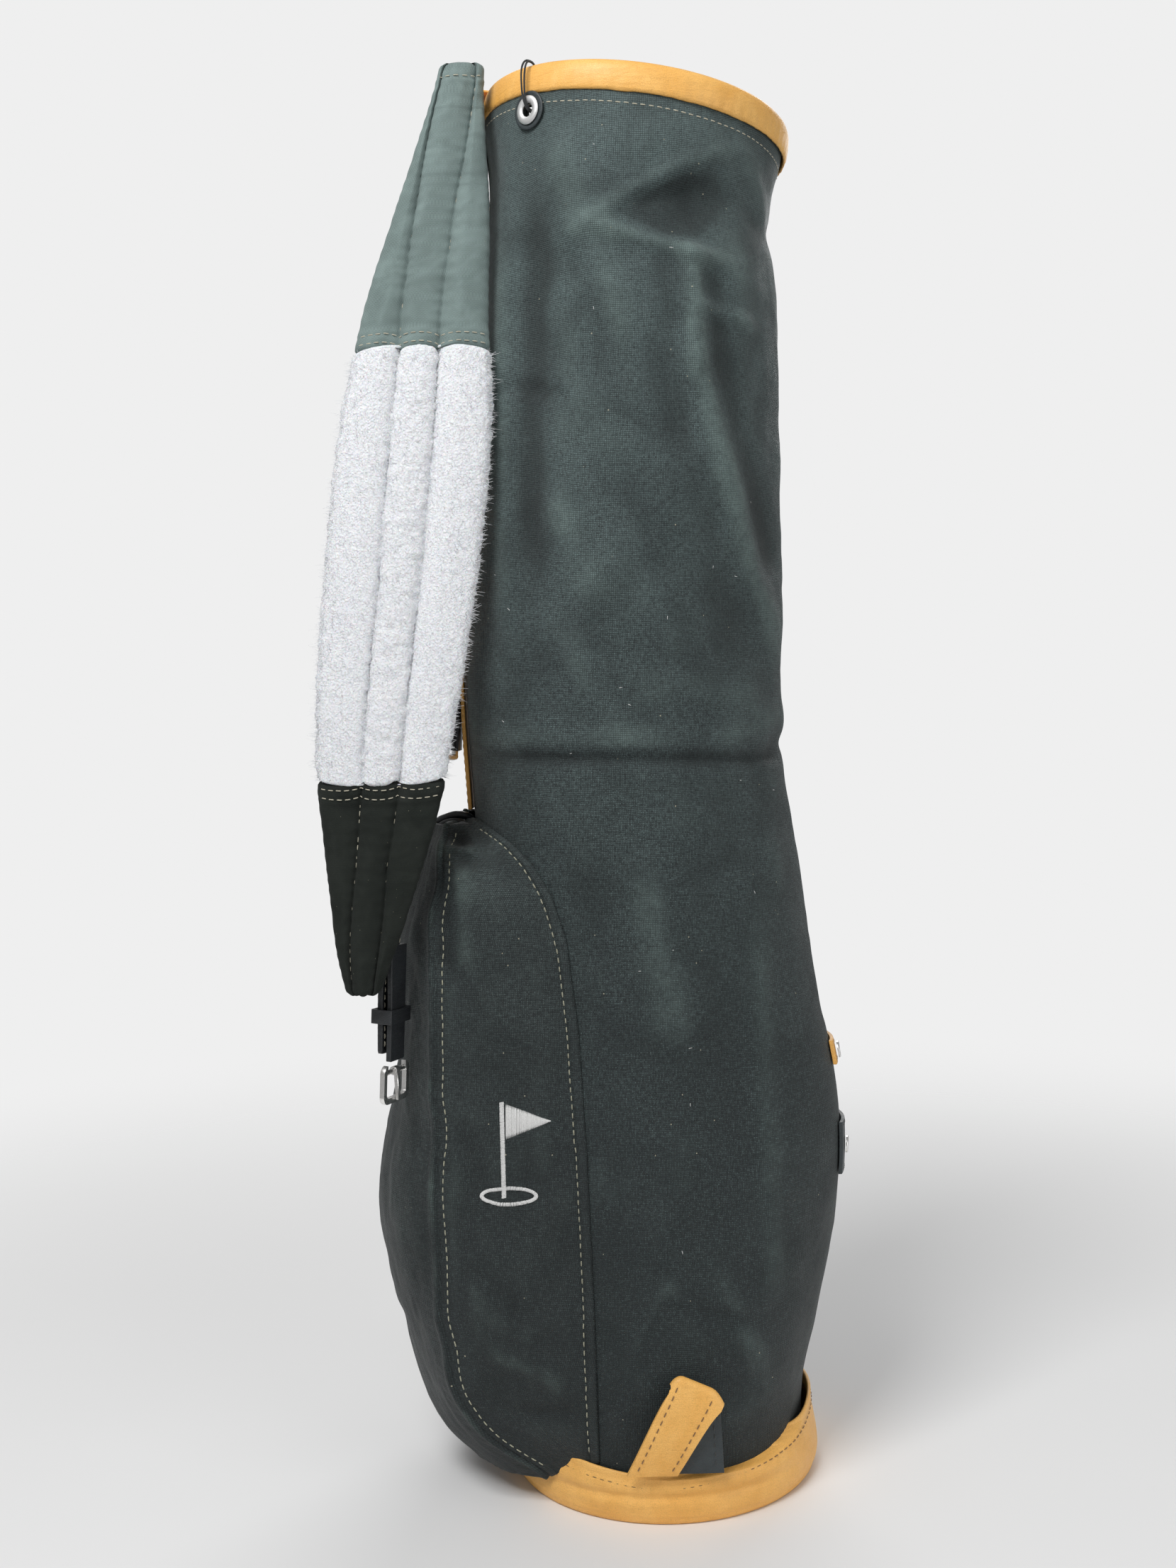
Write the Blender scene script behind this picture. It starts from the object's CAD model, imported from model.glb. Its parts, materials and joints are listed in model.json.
import json
import math

import bmesh
import bpy
import numpy as np
from mathutils import Matrix, Vector
from mathutils.bvhtree import BVHTree


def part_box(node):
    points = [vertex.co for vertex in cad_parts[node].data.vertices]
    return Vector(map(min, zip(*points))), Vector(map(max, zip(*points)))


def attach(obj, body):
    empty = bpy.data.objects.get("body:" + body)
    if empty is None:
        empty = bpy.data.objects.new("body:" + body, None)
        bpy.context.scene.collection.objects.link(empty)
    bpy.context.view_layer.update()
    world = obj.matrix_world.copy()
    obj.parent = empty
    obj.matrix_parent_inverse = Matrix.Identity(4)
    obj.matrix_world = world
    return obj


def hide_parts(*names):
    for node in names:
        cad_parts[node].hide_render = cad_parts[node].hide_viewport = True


# A slim waxed-canvas golf carry bag. Shapes are worked out in millimetres from the packed
# model and turned into metres where a mesh is made.
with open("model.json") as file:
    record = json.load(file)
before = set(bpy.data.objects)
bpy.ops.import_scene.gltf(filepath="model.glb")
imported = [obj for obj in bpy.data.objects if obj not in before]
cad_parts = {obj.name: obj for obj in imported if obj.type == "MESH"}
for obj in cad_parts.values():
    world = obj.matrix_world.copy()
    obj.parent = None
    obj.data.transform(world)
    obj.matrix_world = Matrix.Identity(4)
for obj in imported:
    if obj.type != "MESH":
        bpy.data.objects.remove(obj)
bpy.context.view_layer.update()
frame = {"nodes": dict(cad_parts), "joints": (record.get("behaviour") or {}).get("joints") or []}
nodes = frame["nodes"]
MM = 0.001


# ---- numbers and fields -----------------------------------------------------------------
def smoothstep(low, high, value):
    """0 below low, 1 above high, eased between. It also falls, when low is above high."""
    t = np.clip((value - low) / (high - low), 0, 1)
    return t * t * (3 - 2 * t)


def between(table, u, v, eased=False):
    """A table's value between its entries. Both directions wrap round."""
    iu, iv = np.floor(u).astype(int), np.floor(v).astype(int)
    fu, fv = u - iu, v - iv
    if eased:
        fu, fv = smoothstep(0, 1, fu), smoothstep(0, 1, fv)
    n, m = table.shape
    low, high = [table[iu % n, k % m] * (1 - fu) + table[(iu + 1) % n, k % m] * fu
                 for k in (iv, iv + 1)]
    return low * (1 - fv) + high * fv


CELLS = 64                   # the noise repeats after this many cells


def lattice(u, v, seed):
    """Smooth value noise from -1 to 1."""
    table = np.random.default_rng(seed).uniform(-1, 1, (CELLS, CELLS))
    return between(table, u, v, eased=True)


def gauss(values, width, axis, wrap=False):
    """Values smoothed along an axis with a bell of that width in samples."""
    reach = int(3 * width) + 1
    bell = np.exp(-0.5 * (np.arange(-reach, reach + 1) / width) ** 2)
    bell /= bell.sum()
    pad = [(0, 0)] * values.ndim
    pad[axis] = (reach, reach)
    padded = np.pad(values, pad, mode="wrap" if wrap else "edge")
    return np.apply_along_axis(lambda row: np.convolve(row, bell, mode="valid"), axis, padded)


def calmed(values, width, wrap=False):
    """A grid smoothed along both its directions."""
    return gauss(gauss(values, width, 1, wrap), width, 0)


def bell(value, middle, width):
    """1 at the middle, falling away on both sides over that width."""
    return np.exp(-((value - middle) / width) ** 2)


def blob(x, z, cx, cz, wx, wz, turn=0.0):
    """A soft round-topped patch."""
    c, s = math.cos(math.radians(turn)), math.sin(math.radians(turn))
    dx, dz = (x - cx) * c + (z - cz) * s, -(x - cx) * s + (z - cz) * c
    return np.exp(-((dx / wx) ** 2 + (dz / wz) ** 2))


def fold(x, z, start, end, width, side=0.0):
    """A crease along a line: 1 on it, fading to each side and past its ends.
    With a side, one flank of the line rises and the other falls."""
    d = np.array(end, float) - np.array(start, float)
    length = np.hypot(*d)
    along = ((x - start[0]) * d[0] + (z - start[1]) * d[1]) / length
    off = ((x - start[0]) * -d[1] + (z - start[1]) * d[0]) / length
    ends = smoothstep(-0.25 * length, 0.15 * length, along)
    ends = ends * (1 - smoothstep(0.85 * length, 1.25 * length, along))
    body = bell(off, 0, width)
    return ends * (body + side * 1.6 * (off / width) * body)


def spline(points, count):
    """Points on a smooth line through the given ones."""
    p = np.array(points, float)
    p = np.vstack([2 * p[0] - p[1], p, 2 * p[-1] - p[-2]])
    t = np.linspace(0, len(points) - 1, count)
    k = np.minimum(t.astype(int), len(points) - 2)
    f = (t - k)[:, None]
    a, b, c, d = p[k], p[k + 1], p[k + 2], p[k + 3]
    return 0.5 * (2 * b + (c - a) * f + (2 * a - 5 * b + 4 * c - d) * f ** 2
                  + (3 * b - a - 3 * c + d) * f ** 3)


def resample(points, count):
    """The same line with evenly spaced points."""
    p = np.array(points, float)
    run = run_along(p)
    t = np.linspace(0, run[-1], count)
    return np.stack([np.interp(t, run, p[:, k]) for k in range(3)], axis=1)


def unit(v):
    """Vectors scaled to length 1."""
    v = np.array(v, float)
    return v / np.linalg.norm(v, axis=-1, keepdims=True)


def run_along(points):
    """Distance along a line, or along each row of a grid, to each of its points."""
    steps = np.linalg.norm(np.diff(points, axis=-2), axis=-1)
    return np.concatenate([0 * steps[..., :1], np.cumsum(steps, axis=-1)], axis=-1)


def circle(count):
    """Angles spaced evenly round a full turn."""
    return np.linspace(0, 2 * math.pi, count, endpoint=False)


def blunt(value, power):
    """A power that keeps the sign; it squares off a circle's sine and cosine."""
    return np.sign(value) * np.abs(value) ** power


def facing(line, *way):
    """One direction, repeated for each point of a line."""
    return np.tile(np.array(way, float), (len(line), 1))


def summed(shape, x, z, rows):
    """The sum of folds or blobs. A row is a height, then what the shape takes."""
    return sum(gain * shape(x, z, *row) for gain, *row in rows)


# ---- reading the frame ------------------------------------------------------------------
def node_points(name):
    mesh = nodes[name].data
    co = np.zeros(len(mesh.vertices) * 3)
    mesh.vertices.foreach_get("co", co)
    return co.reshape(-1, 3) / MM


def tree(*names):
    """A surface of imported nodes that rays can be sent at."""
    corners, faces = [], []
    for name in names:
        base = len(corners)
        corners += [v.co.copy() for v in nodes[name].data.vertices]
        faces += [[base + k for k in p.vertices] for p in nodes[name].data.polygons]
    return BVHTree.FromPolygons(corners, faces)


def hit(surface, origin, direction):
    """Where a ray meets a surface, or None."""
    found = surface.ray_cast(Vector(origin) * MM, Vector(direction))[0]
    return None if found is None else np.array(found) / MM


def box_of(name):
    """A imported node's low and high corners in millimetres."""
    return [np.array(c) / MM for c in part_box(name)]


def span_of(name):
    """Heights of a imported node's bottom and top in millimetres."""
    return [c[2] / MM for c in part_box(name)]


def middle_of(name):
    points = node_points(name)
    return (points.min(axis=0) + points.max(axis=0)) / 2


def hits(surface, starts, direction):
    """Where rays from a row of places meet a surface, without those that miss it."""
    found = [hit(surface, start, direction) for start in starts]
    return np.array([point for point in found if point is not None])


hoop_points = node_points("rim_hoop")
RIM_C = hoop_points.mean(axis=0)
RIM_N = np.linalg.svd(hoop_points - RIM_C, full_matrices=False)[2][2]
RIM_N = RIM_N * np.sign(RIM_N[2])
RIM_X = unit(np.cross((0, 1, 0), RIM_N))
RIM_Y = np.cross(RIM_N, RIM_X)
HOOP_H = 1.0                 # the hoop's centre above the mouth's plane
RIM_C = RIM_C - RIM_N * HOOP_H
AXIS_X = -6.0                # x of the upright line that the tube's sections are drawn round


def rim_point(angle, radius, height):
    """Points round the mouth: angle in the mouth's plane, radius and height from that plane."""
    angle, radius, height = np.broadcast_arrays(angle, radius, height)
    return (RIM_C + RIM_X * (radius * np.cos(angle))[..., None]
            + RIM_Y * (radius * np.sin(angle))[..., None] + RIM_N * height[..., None])


# ---- meshes -----------------------------------------------------------------------------
def finish_piece(obj, body, material, stands_for=()):
    """Material, body to ride on, material slot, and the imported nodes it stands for."""
    obj.data.materials.append(material)
    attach(obj, body)
    if stands_for:
        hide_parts(*stands_for)
    return obj


def mesh_piece(name, points, faces, smooth=True):
    mesh = bpy.data.meshes.new(name)
    mesh.from_pydata((np.asarray(points, float) * MM).tolist(), [], faces)
    mesh.polygons.foreach_set("use_smooth", [smooth] * len(mesh.polygons))
    mesh.update()
    obj = bpy.data.objects.new(name, mesh)
    bpy.context.scene.collection.objects.link(obj)
    return obj


def places(rows, cols):
    """The row and the column of every place in a grid."""
    return [a.ravel() for a in np.meshgrid(np.arange(rows), np.arange(cols), indexing="ij")]


def grid_faces(rows, cols, closed):
    i, j = places(rows - 1, cols if closed else cols - 1)
    k = (j + 1) % cols
    return np.stack([i * cols + j, i * cols + k, (i + 1) * cols + k, (i + 1) * cols + j], axis=1)


def attribute(obj, name, kind, domain, field, values):
    layer = obj.data.attributes.new(name, kind, domain)
    layer.data.foreach_set(field, values.astype(np.float32).ravel())


def grid_piece(name, points, cloth=None, closed=False, caps=False, wear=None):
    """A sheet or tube from rows of points. cloth gives each point's place in the flat cloth, in
    millimetres, with one more column than the points where the sheet is closed."""
    rows, cols = points.shape[:2]
    flat = points.reshape(-1, 3)
    faces = grid_faces(rows, cols, closed).tolist()
    if caps:
        flat = np.vstack([flat, points[0].mean(axis=0), points[-1].mean(axis=0)])
        low, high, last = rows * cols, rows * cols + 1, (rows - 1) * cols
        faces += [[(j + 1) % cols, j, low] for j in range(cols)]
        faces += [[last + j, last + (j + 1) % cols, high] for j in range(cols)]
    obj = mesh_piece(name, flat, faces)
    if cloth is not None:
        i, j = places(rows - 1, cols if closed else cols - 1)
        corners = [np.stack([cloth[i, j], cloth[i, j + 1], cloth[i + 1, j + 1], cloth[i + 1, j]],
                            axis=1).reshape(-1, 2)]
        for row, a, b in ((0, 1, 0), (rows - 1, 0, 1)) if caps else ():
            middle = np.tile(cloth[row].mean(axis=0), (cols, 1))
            wedge = [cloth[row, a:a + cols], cloth[row, b:b + cols], middle]
            corners.append(np.stack(wedge, axis=1).reshape(-1, 2))
        corners = np.pad(np.vstack(corners), ((0, 0), (0, 1)))
        attribute(obj, "cloth", "FLOAT_VECTOR", "CORNER", "vector", corners)
    if wear is not None:
        ends = len(flat) - rows * cols
        attribute(obj, "wear", "FLOAT", "POINT", "value", np.pad(wear.ravel(), (0, ends)))
    return obj


def tube_faces(rows, sides):
    """Faces of a closed tube with a flat face at each end."""
    end = list(range(sides))
    last = (rows - 1) * sides
    return grid_faces(rows, sides, True).tolist() + [end[::-1], [last + k for k in end]]


def wrapped_faces(rows, cols):
    """Faces of a grid that closes both ways, such as a ring."""
    i, j = places(rows, cols)
    k, n = (i + 1) % rows, (j + 1) % cols
    return np.stack([i * cols + j, k * cols + j, k * cols + n, i * cols + n], axis=1).tolist()


def joined_piece(name, forms, faces, smooth=True):
    """One mesh of several forms that all have the same faces."""
    size = len(forms[0])
    listed = [[size * k + v for v in face] for k in range(len(forms)) for face in faces]
    return mesh_piece(name, np.vstack(forms), listed, smooth)


def thicken(obj, depth, offset=-1.0):
    modifier = obj.modifiers.new("thickness", "SOLIDIFY")
    modifier.thickness, modifier.offset = depth * MM, offset
    modifier.use_even_offset = False
    return obj


def soften(obj, width):
    modifier = obj.modifiers.new("edges", "BEVEL")
    modifier.width, modifier.segments, modifier.limit_method = width * MM, 3, "ANGLE"
    modifier.angle_limit = math.radians(40)
    modifier.harden_normals = True
    return obj


def tube_points(path, radius, sides):
    """Rings of points round a line. The radius may differ from point to point."""
    path = np.array(path, float)
    radius = np.broadcast_to(radius, len(path))
    forward = unit(np.gradient(path, axis=0))
    side = unit(np.cross(forward, (0, 1, 0)))
    lift = np.cross(side, forward)
    a = circle(sides)[:, None]
    ring = side[:, None] * np.cos(a) + lift[:, None] * np.sin(a)
    return path[:, None] + ring * radius[:, None, None]


STITCH_SIDES = 6
STITCH = (3.6, 1.6, 0.42)                # length, gap and radius of a stitch
SMALL_STITCH = (3.4, 1.7, 0.38)


def stitch_piece(name, rows, body, material, size=STITCH):
    """Rows of thread stitches, each a small closed form that dips into the cloth at its ends.
    A row is (points, outward directions). With no length, each row is one thread."""
    length, gap, radius = size
    forms = []
    rng = np.random.default_rng(len(name) * 7 + 3)
    wide = np.array([0.35, 0.9, 1.0, 0.9, 0.35]) * radius
    lift = np.array([-0.5, 0.2, 0.45, 0.2, -0.5]) * radius
    turn = circle(STITCH_SIDES)[:, None]
    for line, out in rows:
        line, out = np.array(line, float), np.array(out, float)
        run = run_along(line)
        count = int(run[-1] / (length + gap)) if length else 1
        t = np.array([-0.5, -0.38, 0, 0.38, 0.5]) * (length or run[-1])
        for k in range(count):
            at = (k + 0.5) * run[-1] / count + rng.uniform(-0.12, 0.12)
            where = [np.interp(at + s, run, line[:, c]) for c in range(3) for s in t]
            centre = np.array(where).reshape(3, -1).T
            normal = unit([np.interp(at, run, out[:, c]) for c in range(3)])
            forward = unit(centre[-1] - centre[0])
            side = unit(np.cross(forward, normal) + normal * rng.uniform(-0.08, 0.08))
            centre = centre + normal * lift[:, None] + side * rng.uniform(-0.12, 0.12)
            ring = side * np.cos(turn) + normal * 0.8 * np.sin(turn)
            forms.append((centre[:, None] + ring * wide[:, None, None]).reshape(-1, 3))
    faces = tube_faces(len(wide), STITCH_SIDES)
    return finish_piece(joined_piece(name, forms, faces), body, material)


# ---- materials --------------------------------------------------------------------------
class Shader:
    """A principled material, built node by node."""

    def __init__(self, name, **values):
        self.material = bpy.data.materials.new(name)
        self.material.use_nodes = True
        self.nodes = self.material.node_tree.nodes
        self.links = self.material.node_tree.links
        self.surface = self.nodes["Principled BSDF"]
        for key, value in values.items():
            self.surface.inputs[key.replace("_", " ")].default_value = value

    def add(self, kind, *inputs, **settings):
        node = self.nodes.new("ShaderNode" + kind)
        for key, value in settings.items():
            setattr(node, key, value)
        for key, value in inputs:
            self.feed(node.inputs[key], value)
        return node

    def feed(self, socket, value):
        if isinstance(value, bpy.types.NodeSocket):
            self.links.new(value, socket)
        else:
            socket.default_value = value

    def math(self, operation, a, b=0.0, c=0.0):
        return self.add("Math", (0, a), (1, b), (2, c), operation=operation).outputs[0]

    def times(self, a, b):
        return self.math("MULTIPLY", a, b)

    def plus(self, a, b):
        return self.math("ADD", a, b)

    def wave(self, value, gain):
        return self.math("SINE", self.times(value, gain))

    def parts(self, place):
        return self.add("SeparateXYZ", (0, place)).outputs

    def ramp(self, value, low, high, to_low=0.0, to_high=1.0):
        """The value's range low to high, eased onto another range."""
        return self.add("MapRange", (0, value), (1, low), (2, high), (3, to_low), (4, to_high),
                        interpolation_type="SMOOTHSTEP").outputs[0]

    def mix(self, factor, a, b, blend="MIX"):
        colours = [v if isinstance(v, bpy.types.NodeSocket) else (*v, 1) for v in (a, b)]
        return self.add("Mix", (0, factor), (6, colours[0]), (7, colours[1]), data_type="RGBA",
                        blend_type=blend).outputs[2]

    def millimetres(self, stretch=(1, 1, 1)):
        """Object coordinates in millimetres."""
        place = self.add("TexCoord").outputs["Object"]
        return self.add("Mapping", (0, place), (3, [s / MM for s in stretch])).outputs[0]

    def cloth(self):
        return self.add("Attribute", attribute_name="cloth").outputs["Vector"]

    def wear(self):
        return self.add("Attribute", attribute_name="wear").outputs["Fac"]

    def stretch(self, place, scale):
        return self.add("Mapping", (0, place), (3, scale)).outputs[0]

    def noise(self, place, size, detail=2.0, rough=0.5, bend=0.0):
        """Cloudy noise from 0 to 1 whose patches are about that many millimetres across."""
        return self.add("TexNoise", ("Vector", place), ("Scale", 1 / size), ("Detail", detail),
                        ("Roughness", rough), ("Distortion", bend)).outputs[0]

    def cells(self, place, size, feature="F1", output="Distance"):
        return self.add("TexVoronoi", ("Vector", place), ("Scale", 1 / size),
                        feature=feature).outputs[output]

    def bump(self, height, depth, under=None):
        """depth is in millimetres for a height of 1."""
        node = self.add("Bump", ("Height", height), ("Distance", depth * MM), ("Strength", 1.0))
        if under is not None:
            self.links.new(under, node.inputs["Normal"])
        return node.outputs[0]

    def set(self, **values):
        for key, value in values.items():
            self.feed(self.surface.inputs[key.replace("_", " ")], value)
        return self.material


def tint(colour, gain, lift=0.0):
    return [c * gain + lift for c in colour]


def weave_height(s, place, pitch):
    """Plain weave: the height of the threads, and which of the two sets is on top."""
    parts = s.parts(place)
    across = s.wave(parts[0], math.pi / pitch)
    along = s.wave(parts[1], math.pi / pitch)
    product = s.times(across, along)
    height = s.math("POWER", s.math("ABSOLUTE", product), 0.5)
    return height, s.ramp(product, -0.2, 0.2)


FADE_TOP = 900.0             # the canvas is palest at this height
CANVAS_PITCH = 1.15
TWILL_PITCH = 0.9


def canvas_material(name, dark, light, scuff, scuffed=1.0):
    """Waxed canvas: threads of two shades, slubs, soft mottling, dark wax left in the hollows,
    pale rubbed ridges, and specks."""
    s = Shader(name, Specular_IOR_Level=0.32, Sheen_Weight=0.10, Sheen_Roughness=0.45)
    flat = s.cloth()
    bent = s.add("VectorMath", (0, flat), (1, s.add(
        "VectorMath", (0, s.add("TexNoise", ("Vector", flat), ("Scale", 0.09),
                                ("Detail", 2.0)).outputs["Color"]), (3, 1.6),
        operation="SCALE").outputs[0]), operation="ADD").outputs[0]
    height, over = weave_height(s, bent, CANVAS_PITCH)
    slub_u = s.noise(s.stretch(flat, (0.24, 0.85, 1)), 1.0, 3.0)
    slub_v = s.noise(s.stretch(flat, (0.85, 0.24, 1)), 1.0, 3.0)
    slub = s.plus(s.times(slub_u, over),
                  s.times(slub_v, s.math("SUBTRACT", 1.0, over)))
    tone = s.plus(s.times(slub, 1.30), s.times(s.parts(flat)[1], 0.55 / FADE_TOP))
    thread = s.mix(s.ramp(tone, 0.62, 1.42), dark, light)
    thread = s.mix(s.times(s.math("SUBTRACT", 1.0, height), 0.8), thread,
                   tint(dark, 0.35))
    cloud = s.noise(flat, 46.0, 6.0, 0.62, 0.6)
    streak = s.noise(s.stretch(flat, (0.16, 0.02, 1)), 1.0, 5.0, 0.65)
    thread = s.mix(s.ramp(cloud, 0.35, 0.68, 0.0, 0.42), thread, tint(dark, 0.6))
    hollow = s.times(s.ramp(s.wear(), 0.5, 0.0), 0.62)
    thread = s.mix(hollow, thread, tint(dark, 0.5))
    rub = s.times(s.ramp(s.wear(), 0.48, 1.05), s.ramp(
        s.noise(flat, 9.0, 6.0, 0.72), 0.26, 0.70, 0.25, 1.0))
    chalk = s.times(s.ramp(streak, 0.56, 0.86, 0.0, 0.45),
                   s.ramp(s.noise(flat, 30.0, 4.0), 0.42, 0.7))
    rub = s.times(s.plus(rub, chalk), s.plus(height, 0.25))
    thread = s.mix(s.times(rub, 0.50 * scuffed), thread, scuff)
    spots = s.cells(flat, 9.0)
    pick = s.ramp(s.cells(flat, 9.0, output="Color"), 0.62, 0.63)
    speck = s.times(s.ramp(spots, 0.036, 0.060, 1.0, 0.0), pick)
    thread = s.mix(s.times(speck, 0.75), thread, (0.50, 0.46, 0.34))
    fine = s.bump(height, 0.30)
    fine = s.bump(slub, 0.35, fine)
    fine = s.bump(s.noise(flat, 7.0, 4.0, 0.6), 0.35, fine)
    rough = s.plus(s.ramp(cloud, 0.3, 0.7, 0.50, 0.64), s.times(rub, 0.15))
    return s.set(Base_Color=thread, Roughness=rough, Normal=fine)


def twill_material(name, dark, light, bloom):
    """Twill: slanting ribs, with clouds and a dusty bloom."""
    s = Shader(name, Specular_IOR_Level=bloom, Sheen_Weight=bloom, Sheen_Roughness=0.5)
    flat = s.cloth()
    parts = s.parts(flat)
    warp = s.noise(flat, 12.0, 2.0)
    slant = s.plus(parts[0], s.times(parts[1], 0.75))
    slant = s.plus(slant, s.times(warp, 1.2))
    rib = s.wave(slant, 2 * math.pi / TWILL_PITCH)
    cut = s.wave(parts[1], 2 * math.pi / (0.8 * TWILL_PITCH))
    height = s.plus(s.times(rib, 0.35), s.times(cut, 0.15))
    height = s.plus(height, 0.5)
    cloud = s.noise(flat, 26.0, 5.0, 0.65, 0.5)
    colour = s.mix(s.ramp(height, 0.1, 0.95), dark, light)
    colour = s.mix(s.ramp(cloud, 0.35, 0.7, 0.0, 0.38), colour, tint(light, 1.35, 0.004))
    colour = s.mix(s.ramp(s.wear(), 0.5, 1.0, 0.0, 0.45), colour, tint(light, 1.7, 0.01))
    speck = s.ramp(s.cells(flat, 5.0), 0.03, 0.05, 0.6, 0.0)
    colour = s.mix(speck, colour, (0.34, 0.32, 0.24))
    normal = s.bump(height, 0.16)
    normal = s.bump(s.noise(flat, 5.0, 4.0, 0.6), 0.30, normal)
    return s.set(Base_Color=colour, Roughness=s.ramp(cloud, 0.3, 0.7, 0.66, 0.8), Normal=normal)


GRAIN = 0.62


def leather_material(name, colour, deep, rough=0.42):
    """Leather: pebbled grain, pores, faint creases, tone that drifts over the hide."""
    s = Shader(name, Specular_IOR_Level=0.42, Coat_Weight=0.22, Coat_Roughness=0.32)
    place = s.millimetres()
    drift = s.noise(place, 38.0, 4.0, 0.6, 0.8)
    blotch = s.noise(place, 9.0, 4.0, 0.65)
    pebble = s.cells(place, GRAIN, feature="SMOOTH_F1")
    cracks = s.cells(place, GRAIN * 1.9, feature="DISTANCE_TO_EDGE")
    crease = s.noise(s.millimetres((0.35, 0.35, 1.6)), 5.0, 5.0, 0.7, 1.2)
    tone = s.mix(s.ramp(drift, 0.3, 0.72), colour, deep)
    tone = s.mix(s.ramp(blotch, 0.45, 0.75, 0.0, 0.3), tone, tint(deep, 0.82))
    tone = s.mix(s.ramp(cracks, 0.0, 0.10, 0.35, 0.0), tone, tint(deep, 0.6))
    normal = s.bump(s.ramp(pebble, 0.0, 0.75, 1.0, 0.0), 0.07)
    normal = s.bump(s.ramp(cracks, 0.0, 0.12), 0.05, normal)
    normal = s.bump(crease, 0.5, normal)
    shine = s.plus(s.ramp(blotch, 0.3, 0.7, rough - 0.06, rough + 0.08),
                   s.ramp(pebble, 0.0, 0.8, 0.0, 0.10))
    return s.set(Base_Color=tone, Roughness=shine, Normal=normal)


def metal_material(name, colour, rough, scratch=1.0):
    """Plated metal with fine rubbing marks and a duller bloom in places."""
    s = Shader(name, Metallic=1.0)
    place = s.millimetres()
    haze = s.noise(place, 6.0, 4.0, 0.65)
    lines = s.noise(s.millimetres((0.2, 3.0, 0.6)), 0.5, 3.0, 0.7)
    tone = s.mix(s.ramp(haze, 0.35, 0.75), colour, tint(colour, 0.78))
    normal = s.bump(lines, 0.012 * scratch)
    return s.set(Base_Color=tone, Roughness=s.ramp(haze, 0.3, 0.75, rough, rough + 0.16),
                 Normal=normal)


def fleece_material():
    s = Shader("fleece", Specular_IOR_Level=0.15, Sheen_Weight=0.35, Sheen_Roughness=0.6,
               Subsurface_Weight=0.12, Subsurface_Scale=0.004)
    place = s.millimetres()
    curl = s.cells(place, 1.3, feature="SMOOTH_F1")
    tufts = s.noise(place, 2.2, 5.0, 0.7, 1.5)
    cloud = s.noise(place, 18.0, 3.0, 0.6)
    colour = s.mix(s.ramp(tufts, 0.35, 0.65), (0.84, 0.86, 0.90), (0.94, 0.95, 0.97))
    colour = s.mix(s.ramp(cloud, 0.40, 0.75, 0.0, 0.25), colour, (0.80, 0.82, 0.87))
    normal = s.bump(curl, 0.8)
    normal = s.bump(tufts, 0.9, normal)
    return s.set(Base_Color=colour, Roughness=0.95, Normal=normal)


def fibre_material():
    s = Shader("fleece_fibre", Specular_IOR_Level=0.2, Sheen_Weight=0.2)
    tone = s.noise(s.millimetres(), 1.5, 2.0)
    return s.set(Base_Color=s.mix(tone, (0.84, 0.86, 0.90), (0.95, 0.95, 0.96)), Roughness=0.9)


def thread_material(name, colour):
    """Twisted sewing thread."""
    s = Shader(name, Specular_IOR_Level=0.3, Sheen_Weight=0.2)
    place = s.millimetres()
    twist = s.noise(s.millimetres((2.2, 2.2, 2.2)), 0.7, 2.0, 0.6)
    colour_now = s.mix(s.ramp(twist, 0.35, 0.65), colour, tint(colour, 0.6))
    colour_now = s.mix(s.ramp(s.noise(place, 14.0), 0.4, 0.7, 0.0, 0.4), colour_now,
                       tint(colour, 0.72))
    return s.set(Base_Color=colour_now, Roughness=0.7, Normal=s.bump(twist, 0.1))


def lining_material():
    s = Shader("lining", Specular_IOR_Level=0.2, Sheen_Weight=0.08)
    flat = s.cloth()
    height = weave_height(s, flat, 0.7)[0]
    cloud = s.noise(flat, 40.0, 4.0, 0.6)
    colour = s.mix(s.times(height, 0.8), (0.030, 0.034, 0.034), (0.085, 0.092, 0.088))
    colour = s.mix(s.ramp(cloud, 0.3, 0.75, 0.0, 0.4), colour, (0.045, 0.050, 0.048))
    return s.set(Base_Color=colour, Roughness=0.85, Normal=s.bump(height, 0.12))


def plywood_material():
    s = Shader("plywood", Specular_IOR_Level=0.3)
    place = s.millimetres((0.06, 0.9, 1.0))
    rings = s.noise(place, 3.0, 6.0, 0.65, 1.5)
    colour = s.mix(s.ramp(rings, 0.3, 0.7), (0.50, 0.33, 0.17), (0.33, 0.19, 0.09))
    return s.set(Base_Color=colour, Roughness=0.6, Normal=s.bump(rings, 0.15))


def zip_cloth_material():
    s = Shader("zip_cloth", Specular_IOR_Level=0.25, Sheen_Weight=0.1)
    parts = s.parts(s.millimetres())
    rib = s.math("SINE", s.times(s.plus(parts[2], s.math("ABSOLUTE", s.math(
        "SUBTRACT", s.math("FRACT", s.times(parts[0], 0.5)), 0.5))), 2 * math.pi / 1.1))
    colour = s.mix(s.ramp(rib, -1.0, 1.0), (0.016, 0.020, 0.021), (0.050, 0.058, 0.058))
    return s.set(Base_Color=colour, Roughness=0.8, Normal=s.bump(rib, 0.08))


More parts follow.
